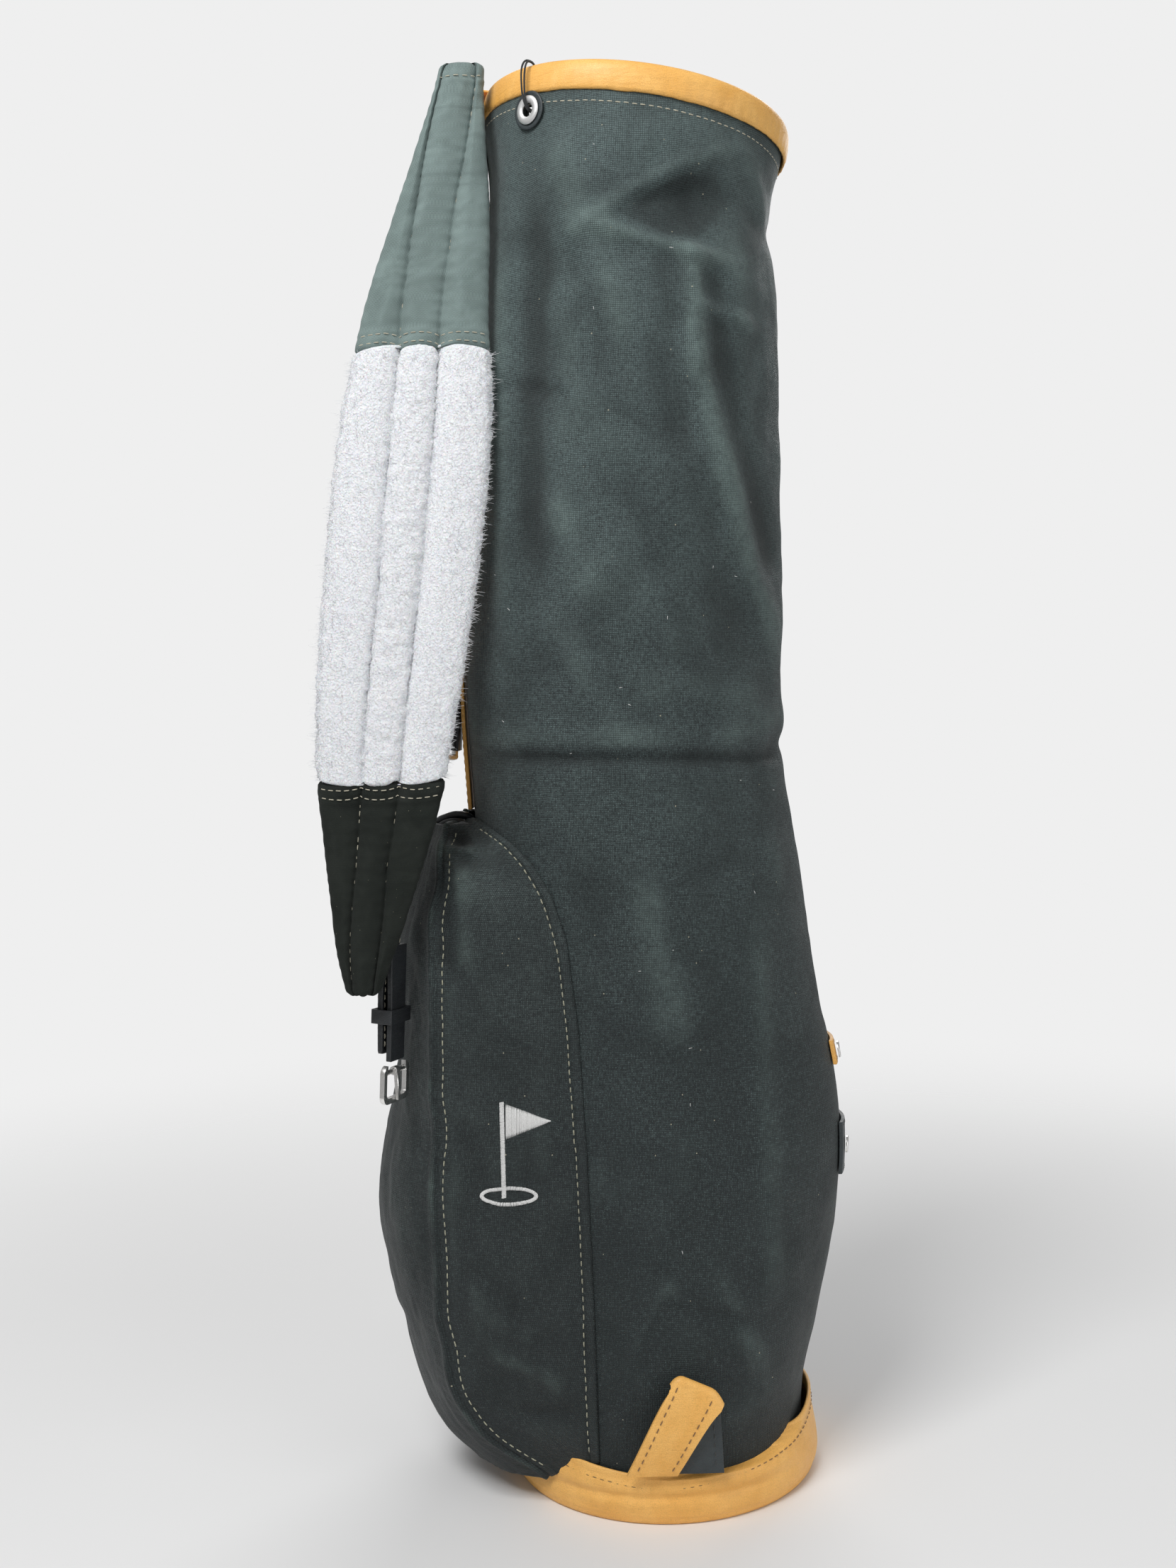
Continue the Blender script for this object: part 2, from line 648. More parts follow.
CANVAS = canvas_material("waxed_canvas", (0.018, 0.026, 0.027), (0.142, 0.200, 0.198),
                         (0.225, 0.305, 0.285))
GUSSET = canvas_material("waxed_canvas_pocket", (0.017, 0.024, 0.025), (0.112, 0.152, 0.148),
                         (0.170, 0.232, 0.210), scuffed=0.8)
PAD_LIGHT = twill_material("pad_twill_light", (0.085, 0.118, 0.112), (0.215, 0.280, 0.270), 0.20)
PAD_DARK = twill_material("pad_twill_dark", (0.009, 0.011, 0.010), (0.025, 0.029, 0.025), 0.05)
TAN = leather_material("tan_leather", (0.97, 0.545, 0.150), (0.88, 0.450, 0.098))
BLACK = leather_material("black_leather", (0.022, 0.025, 0.028), (0.012, 0.013, 0.015), 0.30)
TEAL = leather_material("dark_teal_leather", (0.040, 0.052, 0.056), (0.026, 0.034, 0.038), 0.40)
NICKEL = metal_material("nickel", (0.90, 0.89, 0.87), 0.24)
SATIN_NICKEL = metal_material("satin_nickel", (0.96, 0.96, 0.95), 0.42, 0.5)
STEEL = metal_material("steel", (0.52, 0.52, 0.52), 0.34, 2.0)
FLEECE = fleece_material()
FIBRE = fibre_material()
CREAM_THREAD = thread_material("cream_thread", (0.60, 0.56, 0.44))
WHITE_THREAD = thread_material("white_thread", (0.86, 0.86, 0.85))
OLIVE_THREAD = thread_material("olive_thread", (0.44, 0.43, 0.32))
TAN_THREAD = thread_material("tan_thread", (0.62, 0.42, 0.22))
DARK_TAN_THREAD = thread_material("dark_tan_thread", (0.30, 0.17, 0.07))
DARK_THREAD = thread_material("dark_thread", (0.05, 0.055, 0.055))
CORD = thread_material("waxed_cord", (0.030, 0.032, 0.033))
LINING = lining_material()
PLYWOOD = plywood_material()
ZIP_CLOTH = zip_cloth_material()


# ---- body tube --------------------------------------------------------------------------
CANVAS_LOW = 4.2             # the canvas starts at this height, inside the boot
CANVAS_T, LINING_T, POCKET_T = 1.5, 0.7, 1.3
LINING_INSET = 2.3
CANVAS_HOLE, LINING_HOLE = 6.0, 7.5      # radii opened for the eyelet
GIRTH = 104.0                # turns an angle into a length along the flat cloth
BODY_COLS, BODY_ROWS = 400, 560
LINING_COLS, LINING_ROWS = 200, 260
TUBE = tree("body_canvas")
FAR = 320.0                  # rays start this far from the upright line
MOUTH_R = 100.0
MOUTH_DROP = 1.2             # the canvas ends this far below the mouth's plane


def on_plan(angle, radius):
    """x and y at an angle and distance from the upright line."""
    return AXIS_X + radius * np.cos(angle), radius * np.sin(angle)


def mouth_z(x):
    """Height of the mouth's plane over a place on the tube."""
    return RIM_C[2] - (x - RIM_C[0]) * RIM_N[0] / RIM_N[2]


def wall_top(angle):
    """Height of the canvas's top edge at an angle."""
    return mouth_z(AXIS_X + MOUTH_R * np.cos(angle)) - MOUTH_DROP


def tube_radius(surface, angle, z, low, high):
    """Distance of a surface from the upright line, looking from outside."""
    way = (math.cos(angle), math.sin(angle), 0)
    start = (AXIS_X + FAR * way[0], FAR * way[1], min(max(z, low), high))
    point = hit(surface, start, [-w for w in way])
    return None if point is None else math.hypot(point[0] - AXIS_X, point[1])


def sample_tube():
    """Radius of the tube on an even set of angles and heights, smoothed."""
    angles = np.linspace(-math.pi, math.pi, 120, endpoint=False)
    shares = np.linspace(0, 1, 130)
    radius = np.zeros((len(shares), len(angles)))
    for j, a in enumerate(angles):
        top = wall_top(a) - 0.6
        for i, share in enumerate(shares):
            z = CANVAS_LOW + share * (top - CANVAS_LOW)
            found = tube_radius(TUBE, a, z, CANVAS_LOW, 1000)
            radius[i, j] = radius[i - 1, j] if found is None else found
    return calmed(radius, 1.3, wrap=True)


TUBE_RADIUS = sample_tube()


def tube_base(angle, share):
    """Radius of the plain tube between its samples."""
    rows, cols = TUBE_RADIUS.shape
    u = (np.asarray(angle) + math.pi) / (2 * math.pi) * cols
    v = np.clip(np.asarray(share) * (rows - 1), 0, rows - 1.001)
    return between(TUBE_RADIUS.T, u, v)


# creases: height, start, end, width, and how much one flank stands higher than the other
NEAR_FOLDS = [
    # the dented corner below the mouth, with its sharp upper and lower edges
    (3.2, (-30, 796), (62, 846), 8, 0.6), (3.6, (-28, 796), (46, 777), 7, -0.7),
    (-2.4, (-12, 806), (34, 822), 5), (2.6, (66, 846), (84, 806), 7, 0.5),
    (-3.4, (41, 770), (47, 706), 11, 0.8), (3.0, (31, 782), (33, 706), 7, -0.3),
    (1.8, (36, 744), (70, 736), 6, 0.6),
    # long slack ridge that runs down to the kink in the right edge
    (3.8, (30, 708), (76, 535), 12, 0.5), (-3.2, (50, 700), (84, 580), 11),
    (-2.2, (14, 690), (52, 530), 16),
    # a trough between the spine and the belly, and the ridges beside it
    (-4.8, (-71, 812), (-73, 600), 13), (2.2, (-91, 800), (-92, 560), 9),
    (2.8, (-62, 858), (-14, 724), 16, 0.3), (-2.0, (-40, 776), (-30, 700), 12),
    (-1.6, (-88, 702), (-52, 690), 6, 0.5),
    # slack patches over the belly
    (2.0, (-62, 628), (-38, 566), 12, 0.3), (-1.8, (-10, 640), (30, 560), 15),
    (1.4, (-64, 560), (-30, 500), 11),
    # the level crease where the tube bends
    (-3.0, (-96, 470.5), (88, 467), 5, -0.5), (1.8, (-90, 482), (80, 480), 10),
    # small folds over the boot and by the lower scuffs
    (1.5, (-20, 108), (0, 142), 5, 0.4), (1.1, (-2, 146), (14, 120), 5, 0.4),
    (-1.4, (2, 128), (52, 116), 6, 0.5), (1.2, (34, 150), (58, 90), 8, -0.5),
    (1.2, (62, 330), (64, 150), 8, 0.3), (-1.6, (20, 400), (34, 250), 18, 0.4),
    (1.6, (-16, 390), (6, 300), 16, 0.4)]
# soft patches: height, centre, half sizes and turn in degrees
NEAR_BLOBS = [(-10.0, 34, 811, 36, 24, 22), (2.4, 34, 508, 44, 18)]
RIGHT_FOLDS = [(-2.6, (-70, 476), (70, 470), 7), (2.0, (-70, 492), (60, 490), 10)]
RIGHT_BLOBS = [(2.2, -5, 836, 60, 22), (-2.6, -5, 808, 60, 12)]
FAR_FOLDS = [
    (2.4, (-40, 640), (60, 560), 13, 0.6), (-2.0, (-30, 540), (70, 452), 10, -0.4),
    (1.8, (-50, 330), (50, 250), 12, 0.5), (-2.0, (-30, 470), (92, 466), 6, 0.4)]
FAR_BLOBS = [(-3.0, 10, 790, 44, 26, -20)]


def canvas_relief(angle, x, y, z):
    """How far the canvas stands off the plain tube, in millimetres: sags, dents and creases.
    Positive is outwards. The near side has its own set; the far side has broad soft folds."""
    near = smoothstep(0.05, 0.45, -y / 100)
    far = smoothstep(0.05, 0.45, y / 100)
    right = smoothstep(0.45, 0.85, x / 100)
    top = RIM_C[2] - (x - RIM_C[0]) * RIM_N[0] - z
    free = smoothstep(8, 70, top) * smoothstep(30, 75, z)
    u = (angle + math.pi) / (2 * math.pi) * CELLS
    slope = u + z * 0.010
    broad = (2.3 * lattice(slope * 10 / CELLS + 3, z / 130, 11)
             + 1.6 * lattice(u * 16 / CELLS - z * 0.006, z / 70, 12))
    crumple = (0.75 * lattice(u * 32 / CELLS, z / 26 + u * 0.02, 13)
               + 0.26 * lattice(u, z / 12, 14) + 0.10 * lattice(u * 2, z / 6, 15))
    relief = broad * 0.9 + crumple
    relief += near * (summed(fold, x, z, NEAR_FOLDS) + summed(blob, x, z, NEAR_BLOBS))
    relief += right * (summed(fold, y, z, RIGHT_FOLDS) + summed(blob, y, z, RIGHT_BLOBS))
    relief += far * (summed(fold, x, z, FAR_FOLDS) + summed(blob, x, z, FAR_BLOBS))
    spine = smoothstep(-80, -104, x) * smoothstep(40, 10, np.abs(y))
    keepers = smoothstep(70, 95, x) * smoothstep(170, 184, z) * smoothstep(296, 284, z)
    return relief * free * (1 - 0.9 * spine) * (1 - 0.92 * keepers)


def tube_grid(rows, cols, inset):
    """The tube's wall, moved in by inset, with its folds."""
    angle = np.linspace(-math.pi, math.pi, cols, endpoint=False)[None, :]
    share = np.linspace(0, 1, rows)[:, None]
    top = wall_top(angle)
    z = CANVAS_LOW + share * (top - CANVAS_LOW)
    base = tube_base(angle + 0 * z, share + 0 * angle)
    x, y = on_plan(angle, base)
    relief = canvas_relief(angle + 0 * z, x, y, z)
    radius = base + relief - inset
    return np.stack([*on_plan(angle, radius), z], axis=2), relief, angle + 0 * z


def flat_cloth(angle, z):
    """Place in the flat cloth, one column wider than the points."""
    extra = np.concatenate([angle, angle[:, :1] + 2 * math.pi], axis=1)
    return np.stack([extra * GIRTH, np.concatenate([z, z[:, :1]], axis=1)], axis=2)


def ridges(relief, width, gain):
    """Where a surface stands proud of what is round it, towards 1, and where it lies low,
    towards 0."""
    calm, fine = calmed(relief, width, True), calmed(relief, width / 8, True)
    return np.clip(0.5 + (fine - calm) * gain, 0, 1)


def punch(obj, radius):
    """Opens the wall where the eyelet goes through it."""
    middle = node_points("eyelet_ring").mean(axis=0)
    mesh = bmesh.new()
    mesh.from_mesh(obj.data)
    cut = [f for f in mesh.faces
           if np.linalg.norm(np.array(f.calc_center_median()) / MM - middle) < radius]
    bmesh.ops.delete(mesh, geom=cut, context="FACES")
    mesh.to_mesh(obj.data)
    mesh.free()


def build_body():
    points, relief, angle = tube_grid(BODY_ROWS, BODY_COLS, 0.0)
    canvas = grid_piece("body_canvas_cloth", points, flat_cloth(angle, points[..., 2]),
                        closed=True, wear=ridges(relief, 13.0, 0.16))
    punch(canvas, CANVAS_HOLE)
    thicken(canvas, CANVAS_T)
    finish_piece(canvas, "bag", CANVAS, ["body_canvas"])
    inner, relief, angle = tube_grid(LINING_ROWS, LINING_COLS, LINING_INSET)
    lining = grid_piece("body_lining_cloth", inner, flat_cloth(angle, inner[..., 2]), closed=True)
    punch(lining, LINING_HOLE)
    thicken(lining, LINING_T)
    finish_piece(lining, "bag", LINING, ["body_lining"])


LINT = 26                    # stray fibres on the near side


def build_lint():
    """A few stray fibres caught on the canvas."""
    rng = np.random.default_rng(17)
    rows = []
    for angle, z in zip(rng.uniform(-2.6, -0.5, LINT), rng.uniform(70, 850, LINT)):
        run = np.linspace(0, 1, 5)
        way = rng.uniform(0, 2 * math.pi) + rng.uniform(-1.2, 1.2) * run
        length = rng.uniform(1.2, 3.6)
        spots, out = wall_at(angle + np.cumsum(np.cos(way)) * length / 500,
                             z + np.cumsum(np.sin(way)) * length / 5)
        rows.append((spots, out))
    stitch_piece("lint_fibres", rows, "bag", WHITE_THREAD, (None, 0, 0.17))


def wall_at(angle, z):
    """A point on the outside of the folded canvas, and the outward direction there."""
    angle, z = np.broadcast_arrays(np.asarray(angle, float), np.asarray(z, float))
    spots = []
    for da, dz in ((0, 0), (0.02, 0), (0, 2.0)):
        a, h = angle + da, z + dz
        top = wall_top(a)
        base = tube_base(a, (h - CANVAS_LOW) / (top - CANVAS_LOW))
        x, y = on_plan(a, base)
        radius = base + canvas_relief(a, x, y, h)
        spots.append(np.stack([*on_plan(a, radius), h], axis=-1))
    out = unit(np.cross(spots[1] - spots[0], spots[2] - spots[0]))
    return spots[0], out


# ---- mouth: leather binding, its stitches, and the dividing bar -------------------------
STITCH_DROP = 21.4           # the row of stitches lies this far below the mouth's plane
BINDING_PROFILE = [              # radius and height from the mouth's plane
    (100.5, -14.3), (101.5, -14.1), (102.2, -12.0), (102.5, -8.0), (102.6, -3.0), (102.2, 0.8),
    (101.2, 3.2), (99.6, 4.7), (98.0, 4.9), (96.4, 4.1), (95.3, 2.2), (94.9, -1.0), (94.9, -6.0),
    (95.1, -11.0), (95.5, -13.8), (96.3, -14.4), (97.0, -13.0), (97.2, -5.0), (97.4, 1.0),
    (98.6, 2.2), (99.6, 1.0), (100.0, -5.0), (100.1, -12.5)]


def build_binding():
    """The leather turned over the rim, and the row of stitches in the canvas below it."""
    profile = np.array(BINDING_PROFILE)
    angle = circle(360)[:, None]
    u = angle / (2 * math.pi) * CELLS
    middle = np.array([98.6, -5.0])
    swell = 1 + 0.035 * lattice(u, profile[:, 1] / 6 + 9, 31) + 0.02 * lattice(u * 3, 0 * u, 32)
    radius = middle[0] + (profile[:, 0] - middle[0]) * swell
    hem = smoothstep(-11, -14, profile[:, 1])
    height = profile[:, 1] + hem * (0.45 * lattice(u, 0 * u + 2, 33))
    pucker = 0.16 * np.sin(angle * 82) * smoothstep(-2, -12, profile[:, 1])
    points = rim_point(angle, radius + pucker * (profile[:, 0] > middle[0]), height)
    obj = mesh_piece("mouth_binding", points.reshape(-1, 3), wrapped_faces(*points.shape[:2]))
    finish_piece(obj, "bag", TAN, ["rim_binding"])
    theta = np.linspace(-math.pi, math.pi, 500)
    level = mouth_z(AXIS_X + 101 * np.cos(theta)) - STITCH_DROP
    line, normal = wall_at(theta, level)
    keep = line[:, 0] > -98
    stitch_piece("mouth_stitches", [(line[keep], normal[keep])], "bag", CREAM_THREAD,
                 SMALL_STITCH)


def build_divider():
    """The leather sleeve on the bar across the mouth, sewn along its underside."""
    low, high = box_of("divider_bar")
    ends = np.array([[low[0] + 0.8, 0, high[2] - 5.0], [high[0] - 0.8, 0, low[2] + 5.0]])
    line = resample(ends, 90)
    t = np.linspace(-1, 1, len(line))
    gather = 0.12 * np.cos(t * 70) * bell(np.abs(t), 1, 40 ** -0.5)
    radius = 4.7 + 0.25 * np.abs(t) ** 6 - gather
    ring = tube_points(line, radius, 28)
    ring[0] = ring[0] * 0.4 + line[0] * 0.6
    ring[-1] = ring[-1] * 0.4 + line[-1] * 0.6
    obj = grid_piece("divider_sleeve", ring, closed=True, caps=True)
    finish_piece(obj, "bag", TAN, ["divider_bar"])
    under = line + np.array([0, 0, -4.8])
    out = facing(line, 0, 0, -1.0)
    stitch_piece("divider_stitches", [(under, out)], "bag", CREAM_THREAD)


# ---- boot and sole ----------------------------------------------------------------------
BOOT = tree("boot")
BOOT_ROWS, BOOT_COLS = 64, 360


def boot_outline():
    """Angles round the boot, the height of its scalloped top there, and its wall's radius."""
    angles = np.linspace(-math.pi, math.pi, 120, endpoint=False)
    low, high = span_of("boot")
    tops, walls = [], []
    levels = np.arange(low + 0.5, high, 0.75)
    for a in angles:
        found = [(z, tube_radius(BOOT, a, z, 0, 99)) for z in levels]
        found = [f for f in found if f[1] is not None]
        tops.append(found[-1][0])
        walls.append(np.interp(levels, [f[0] for f in found], [f[1] for f in found]))
    tops = gauss(np.array(tops)[None], 1.5, 1, wrap=True)[0]
    walls = gauss(np.array(walls), 1.5, 0, wrap=True)
    fine = np.linspace(-math.pi, math.pi, BOOT_COLS, endpoint=False)
    wrap = np.append(angles, math.pi)
    top = np.interp(fine, wrap, np.append(tops, tops[0]))
    wall = np.stack([np.interp(fine, wrap, np.append(w, w[0])) for w in walls.T])
    return fine, top, levels, wall


def build_boot():
    """The scalloped leather boot, with a rolled top edge, a tucked foot and stitches."""
    angle, top, levels, wall = boot_outline()
    # share up the wall, then a tight roll inwards at the top edge
    share = np.linspace(0, 1, BOOT_ROWS)[:, None]
    z = 3.0 + share * (top[None] - 3.0)
    radius = np.stack([np.interp(h, levels, w) for h, w in zip(z.T, wall.T)], axis=1)
    u = (angle / (2 * math.pi) * CELLS)[None]
    near = smoothstep(0.2, 0.7, -np.sin(angle))[None]
    x = on_plan(angle, radius)[0]
    relief = (0.8 * lattice(u * 12 / CELLS + 5, z / 24, 41) + 0.4 * lattice(u / 2, z / 12, 42)
              + 0.12 * lattice(u * 1.5, z / 5, 43))
    relief += near * (-1.3 * fold(x, z, (-70, 17.5), (60, 19), 3.2, -0.5)
                      + 0.9 * fold(x, z, (-60, 24), (70, 25), 5))
    relief *= smoothstep(0, 0.2, share) * smoothstep(1.0, 0.8, share)
    lip = 0.5 * smoothstep(0.86, 0.97, share)
    radius = radius + relief + lip - 0.5 * (1 - smoothstep(0, 0.12, share))
    turn = np.linspace(0, math.pi, 8)[1:, None]
    roll = 1.15
    edge_r = radius[-1] - roll * (1 - np.cos(turn))
    edge_z = z[-1] + roll * np.sin(turn)
    tuck = np.linspace(0, math.pi / 2, 7)[::-1][:, None]
    foot_r = radius[0] - 2.4 * np.sin(tuck) ** 2
    foot_z = z[0] - 2.6 * np.sin(tuck)
    down = z[-1] - np.linspace(1, 9, 4)[:, None]
    radius = np.vstack([foot_r - 0.2, radius[1:], edge_r, edge_r[-1:] + 0 * down])
    z = np.vstack([foot_z, z[1:], edge_z, down])
    points = np.stack([*on_plan(angle, radius), z], axis=2)
    obj = grid_piece("boot_leather", points, closed=True)
    thicken(obj, 0.8)
    finish_piece(obj, "bag", TAN, ["boot"])
    # a row of stitches under the rolled edge
    line_z = top - 6.0
    line_r = np.array([np.interp(h, levels, w) for h, w in zip(line_z, wall.T)]) + 0.4
    line = np.stack([*on_plan(angle, line_r), line_z], axis=1)
    out = np.stack([np.cos(angle), np.sin(angle), 0 * angle], axis=1)
    seen = line[:, 0] > -96
    order = np.argsort(angle[seen])
    stitch_piece("boot_stitches", [(line[seen][order], out[seen][order])], "bag", DARK_TAN_THREAD,
                 SMALL_STITCH)


SOLE_STEPS = [               # share of the way out, and height, across the sole's underside
    (0.02, 0.9), (0.3, 0.9), (0.6, 0.9), (0.90, 0.9), (0.925, 0.35), (0.94, 0.35), (0.955, 0.9),
    (0.975, 0.05), (0.995, 0.6), (1.0, 1.6), (1.0, 3.2)]


def build_sole():
    """The sole, with a stitched channel near its edge."""
    low, high = box_of("base_sole")
    cx, a, b = (low[0] + high[0]) / 2, (high[0] - low[0]) / 2 - 1.0, (high[1] - low[1]) / 2 - 1.0
    turn = circle(240)

    def oval(k, h):
        return np.stack([cx + a * k * np.cos(turn), b * k * np.sin(turn), 0 * turn + h], axis=1)

    points = np.array([oval(k, h) for k, h in SOLE_STEPS])
    points[:4, :, 2] += 0.25 * lattice(points[:4, :, 0] / 20, points[:4, :, 1] / 20, 45)
    points = np.vstack([points, points[-1:]])
    points[-1, :, :2] = [cx, 0] + (points[-1, :, :2] - [cx, 0]) * 0.02
    obj = grid_piece("sole_leather", points[::-1], closed=True, caps=True)
    finish_piece(obj, "bag", TAN, ["base_sole"])
    ring = oval(0.932, 0.45)
    stitch_piece("sole_stitches", [(ring, facing(ring, 0, 0, -1))], "bag", TAN_THREAD,
                 (4.0, 2.0, 0.4))


# ---- ball pocket ------------------------------------------------------------------------
FRONT = tree("pocket_front")
POCKET_ROWS, GUSSET_COLS, FRONT_COLS, CAP_ROWS = 270, 116, 150, 12
# where the gusset is sewn to the body: height and x on the tube's wall
SEWN_LINE = [(34, -44.0), (117, -45.0), (220, -47.5), (300, -51.0), (356, -57.0), (384, -66.0),
             (402, -77.0), (414, -89.0), (423, -103.0), (428, -112.0)]
BAND = 5.6                   # width of the folded band along a seam


def sample_pocket():
    """Height, x of the crown, and x and half width at the front seam, smoothed over height."""
    low, high = span_of("pocket_front")
    rows = []
    for z in np.linspace(low + 0.6, high - 0.4, 100):
        crown, edge = hit(FRONT, (-FAR, 0, z), (1, 0, 0))[0], None
        for y in np.arange(2, 110, 0.5):
            point = hit(FRONT, (-FAR, -y, z), (1, 0, 0))
            if point is None:
                break
            edge = (point[0], y)
        rows.append((z, crown, *edge))
    table = np.array(rows)
    table[:, 1:] = gauss(table[:, 1:], 1.6, 0)
    return table


def seam_arc(crown, seam_x, half, count):
    """Points of the round front panel from the near seam to the far one, seen from above."""
    depth = seam_x - crown
    radius = (half ** 2 + depth ** 2) / (2 * depth)
    swing = math.atan2(half, radius - depth)
    t = np.linspace(-1, 1, count) * swing
    return crown + radius - radius * np.cos(t), radius * np.sin(t)


def wall_x(x, z):
    """Angle on the near side at which the tube's wall has that x."""
    a = np.linspace(-math.pi, -math.pi / 2 + 0.3, 90)
    points = wall_at(a, np.full(len(a), z))[0]
    return float(np.interp(x, points[:, 0], a))


def pocket_outline():
    """The pocket's whole skin as rows from the bottom up: near gusset, front, far gusset."""
    table = sample_pocket()
    share = np.linspace(0, 1, POCKET_ROWS)
    front_z = table[0, 0] + share * (table[-1, 0] - table[0, 0])
    sewn_z = SEWN_LINE[0][0] + share * (SEWN_LINE[-1][0] - SEWN_LINE[0][0])
    sewn = np.array(SEWN_LINE, float)
    rows = []
    for z, body_z in zip(front_z, sewn_z):
        crown, seam_x, half = [np.interp(z, table[:, 0], table[:, k]) for k in (1, 2, 3)]
        front_x, front_y = seam_arc(crown, seam_x, half, FRONT_COLS)
        angle = wall_x(np.interp(body_z, sewn[:, 0], sewn[:, 1]), body_z)
        front = np.stack([front_x, front_y, 0 * front_x + z], axis=1)
        t = np.linspace(0, 1, GUSSET_COLS)[:, None]
        sides = []
        for way, corner in ((1, front[0]), (-1, front[-1])):
            root, out = wall_at(way * angle, body_z)
            root = root + out * 0.5
            sides.append(root + (corner - root) * t)
        rows.append(np.vstack([sides[0][:-1], front, sides[1][::-1][1:]]))
    skin = np.array(rows)
    skin = gauss(skin, 1.5, 0)
    middle = np.array([-122.0, 0, 0])
    top, bottom = skin[-1], skin[0]
    turn = np.linspace(0, math.pi / 2, CAP_ROWS + 1)[1:]
    lean = smoothstep(-16, 6, top[:, 1])[:, None]
    upper = [middle + (top - middle) * (math.cos(t), math.cos(t), 1)
             + (0, 0, 1.0) * (1.0 + 4.0 * lean) * math.sin(t) for t in turn]
    low_middle = np.array([-92.0, 0, 0])
    lower = [low_middle + (bottom - low_middle) * (math.cos(t) * 0.999, math.cos(t), 1)
             - (0, 0, 5.0 * math.sin(t)) for t in turn]
    return np.array(lower[::-1] + [*skin] + upper)


POCKET_FRONT_FOLDS = [
    (2.2, (-60, 300), (30, 262), 9, 0.4), (1.8, (-30, 110), (60, 84), 9, -0.4),
    (-1.6, (-70, 352), (60, 340), 11, 0.4)]
POCKET_FOLDS = [
    (2.6, (-138, 413), (-116, 409), 4), (-5.5, (-134, 398), (-133, 338), 7),
    (3.0, (-122, 396), (-119, 340), 9), (-2.0, (-120, 150), (-92, 120), 8, 0.5),
    (1.6, (-108, 96), (-70, 80), 7, 0.6), (-1.6, (-92, 60), (-60, 62), 6, 0.6),
    (-1.8, (-126, 236), (-112, 190), 8, 0.4)]
POCKET_DENTS = [
    (-6.5, -126, 419, 10, 5.5, -12), (-4.0, -121, 406, 10, 5, -18), (2.4, -104, 385, 14, 22)]


def pocket_relief(x, y, z, cross):
    """Puffiness, folds and dents of the pocket's cloth. cross is 0 at the middle of the front
    panel, 1 to 2 over a gusset, with the sign of y."""
    near = smoothstep(0.0, 0.3, -cross)
    side = smoothstep(1.0, 1.15, np.abs(cross)) * smoothstep(2.0, 1.7, np.abs(cross))
    front = smoothstep(1.0, 0.7, np.abs(cross))
    relief = 1.5 * lattice(cross * 3 + 20, z / 60, 51) + 0.9 * lattice(cross * 7 + 9, z / 28, 52)
    relief += 0.35 * lattice(cross * 16 + 9, z / 12, 53) + 0.15 * lattice(cross * 30, z / 6, 54)
    relief += 3.0 * side * smoothstep(30, 120, z) * smoothstep(430, 330, z)
    relief += 2.0 * front * blob(y, z, 0, 150, 90, 60)
    relief -= front * summed(fold, y, z, POCKET_FRONT_FOLDS)
    relief += near * (summed(fold, x, z, POCKET_FOLDS) + summed(blob, x, z, POCKET_DENTS))
    zipped = smoothstep(0.9, 1.1, cross) * smoothstep(20, 14, np.abs(x + 120)) * smoothstep(
        56, 66, z) * smoothstep(348, 338, z)
    return relief * (1 - zipped) + 1.5 * zipped


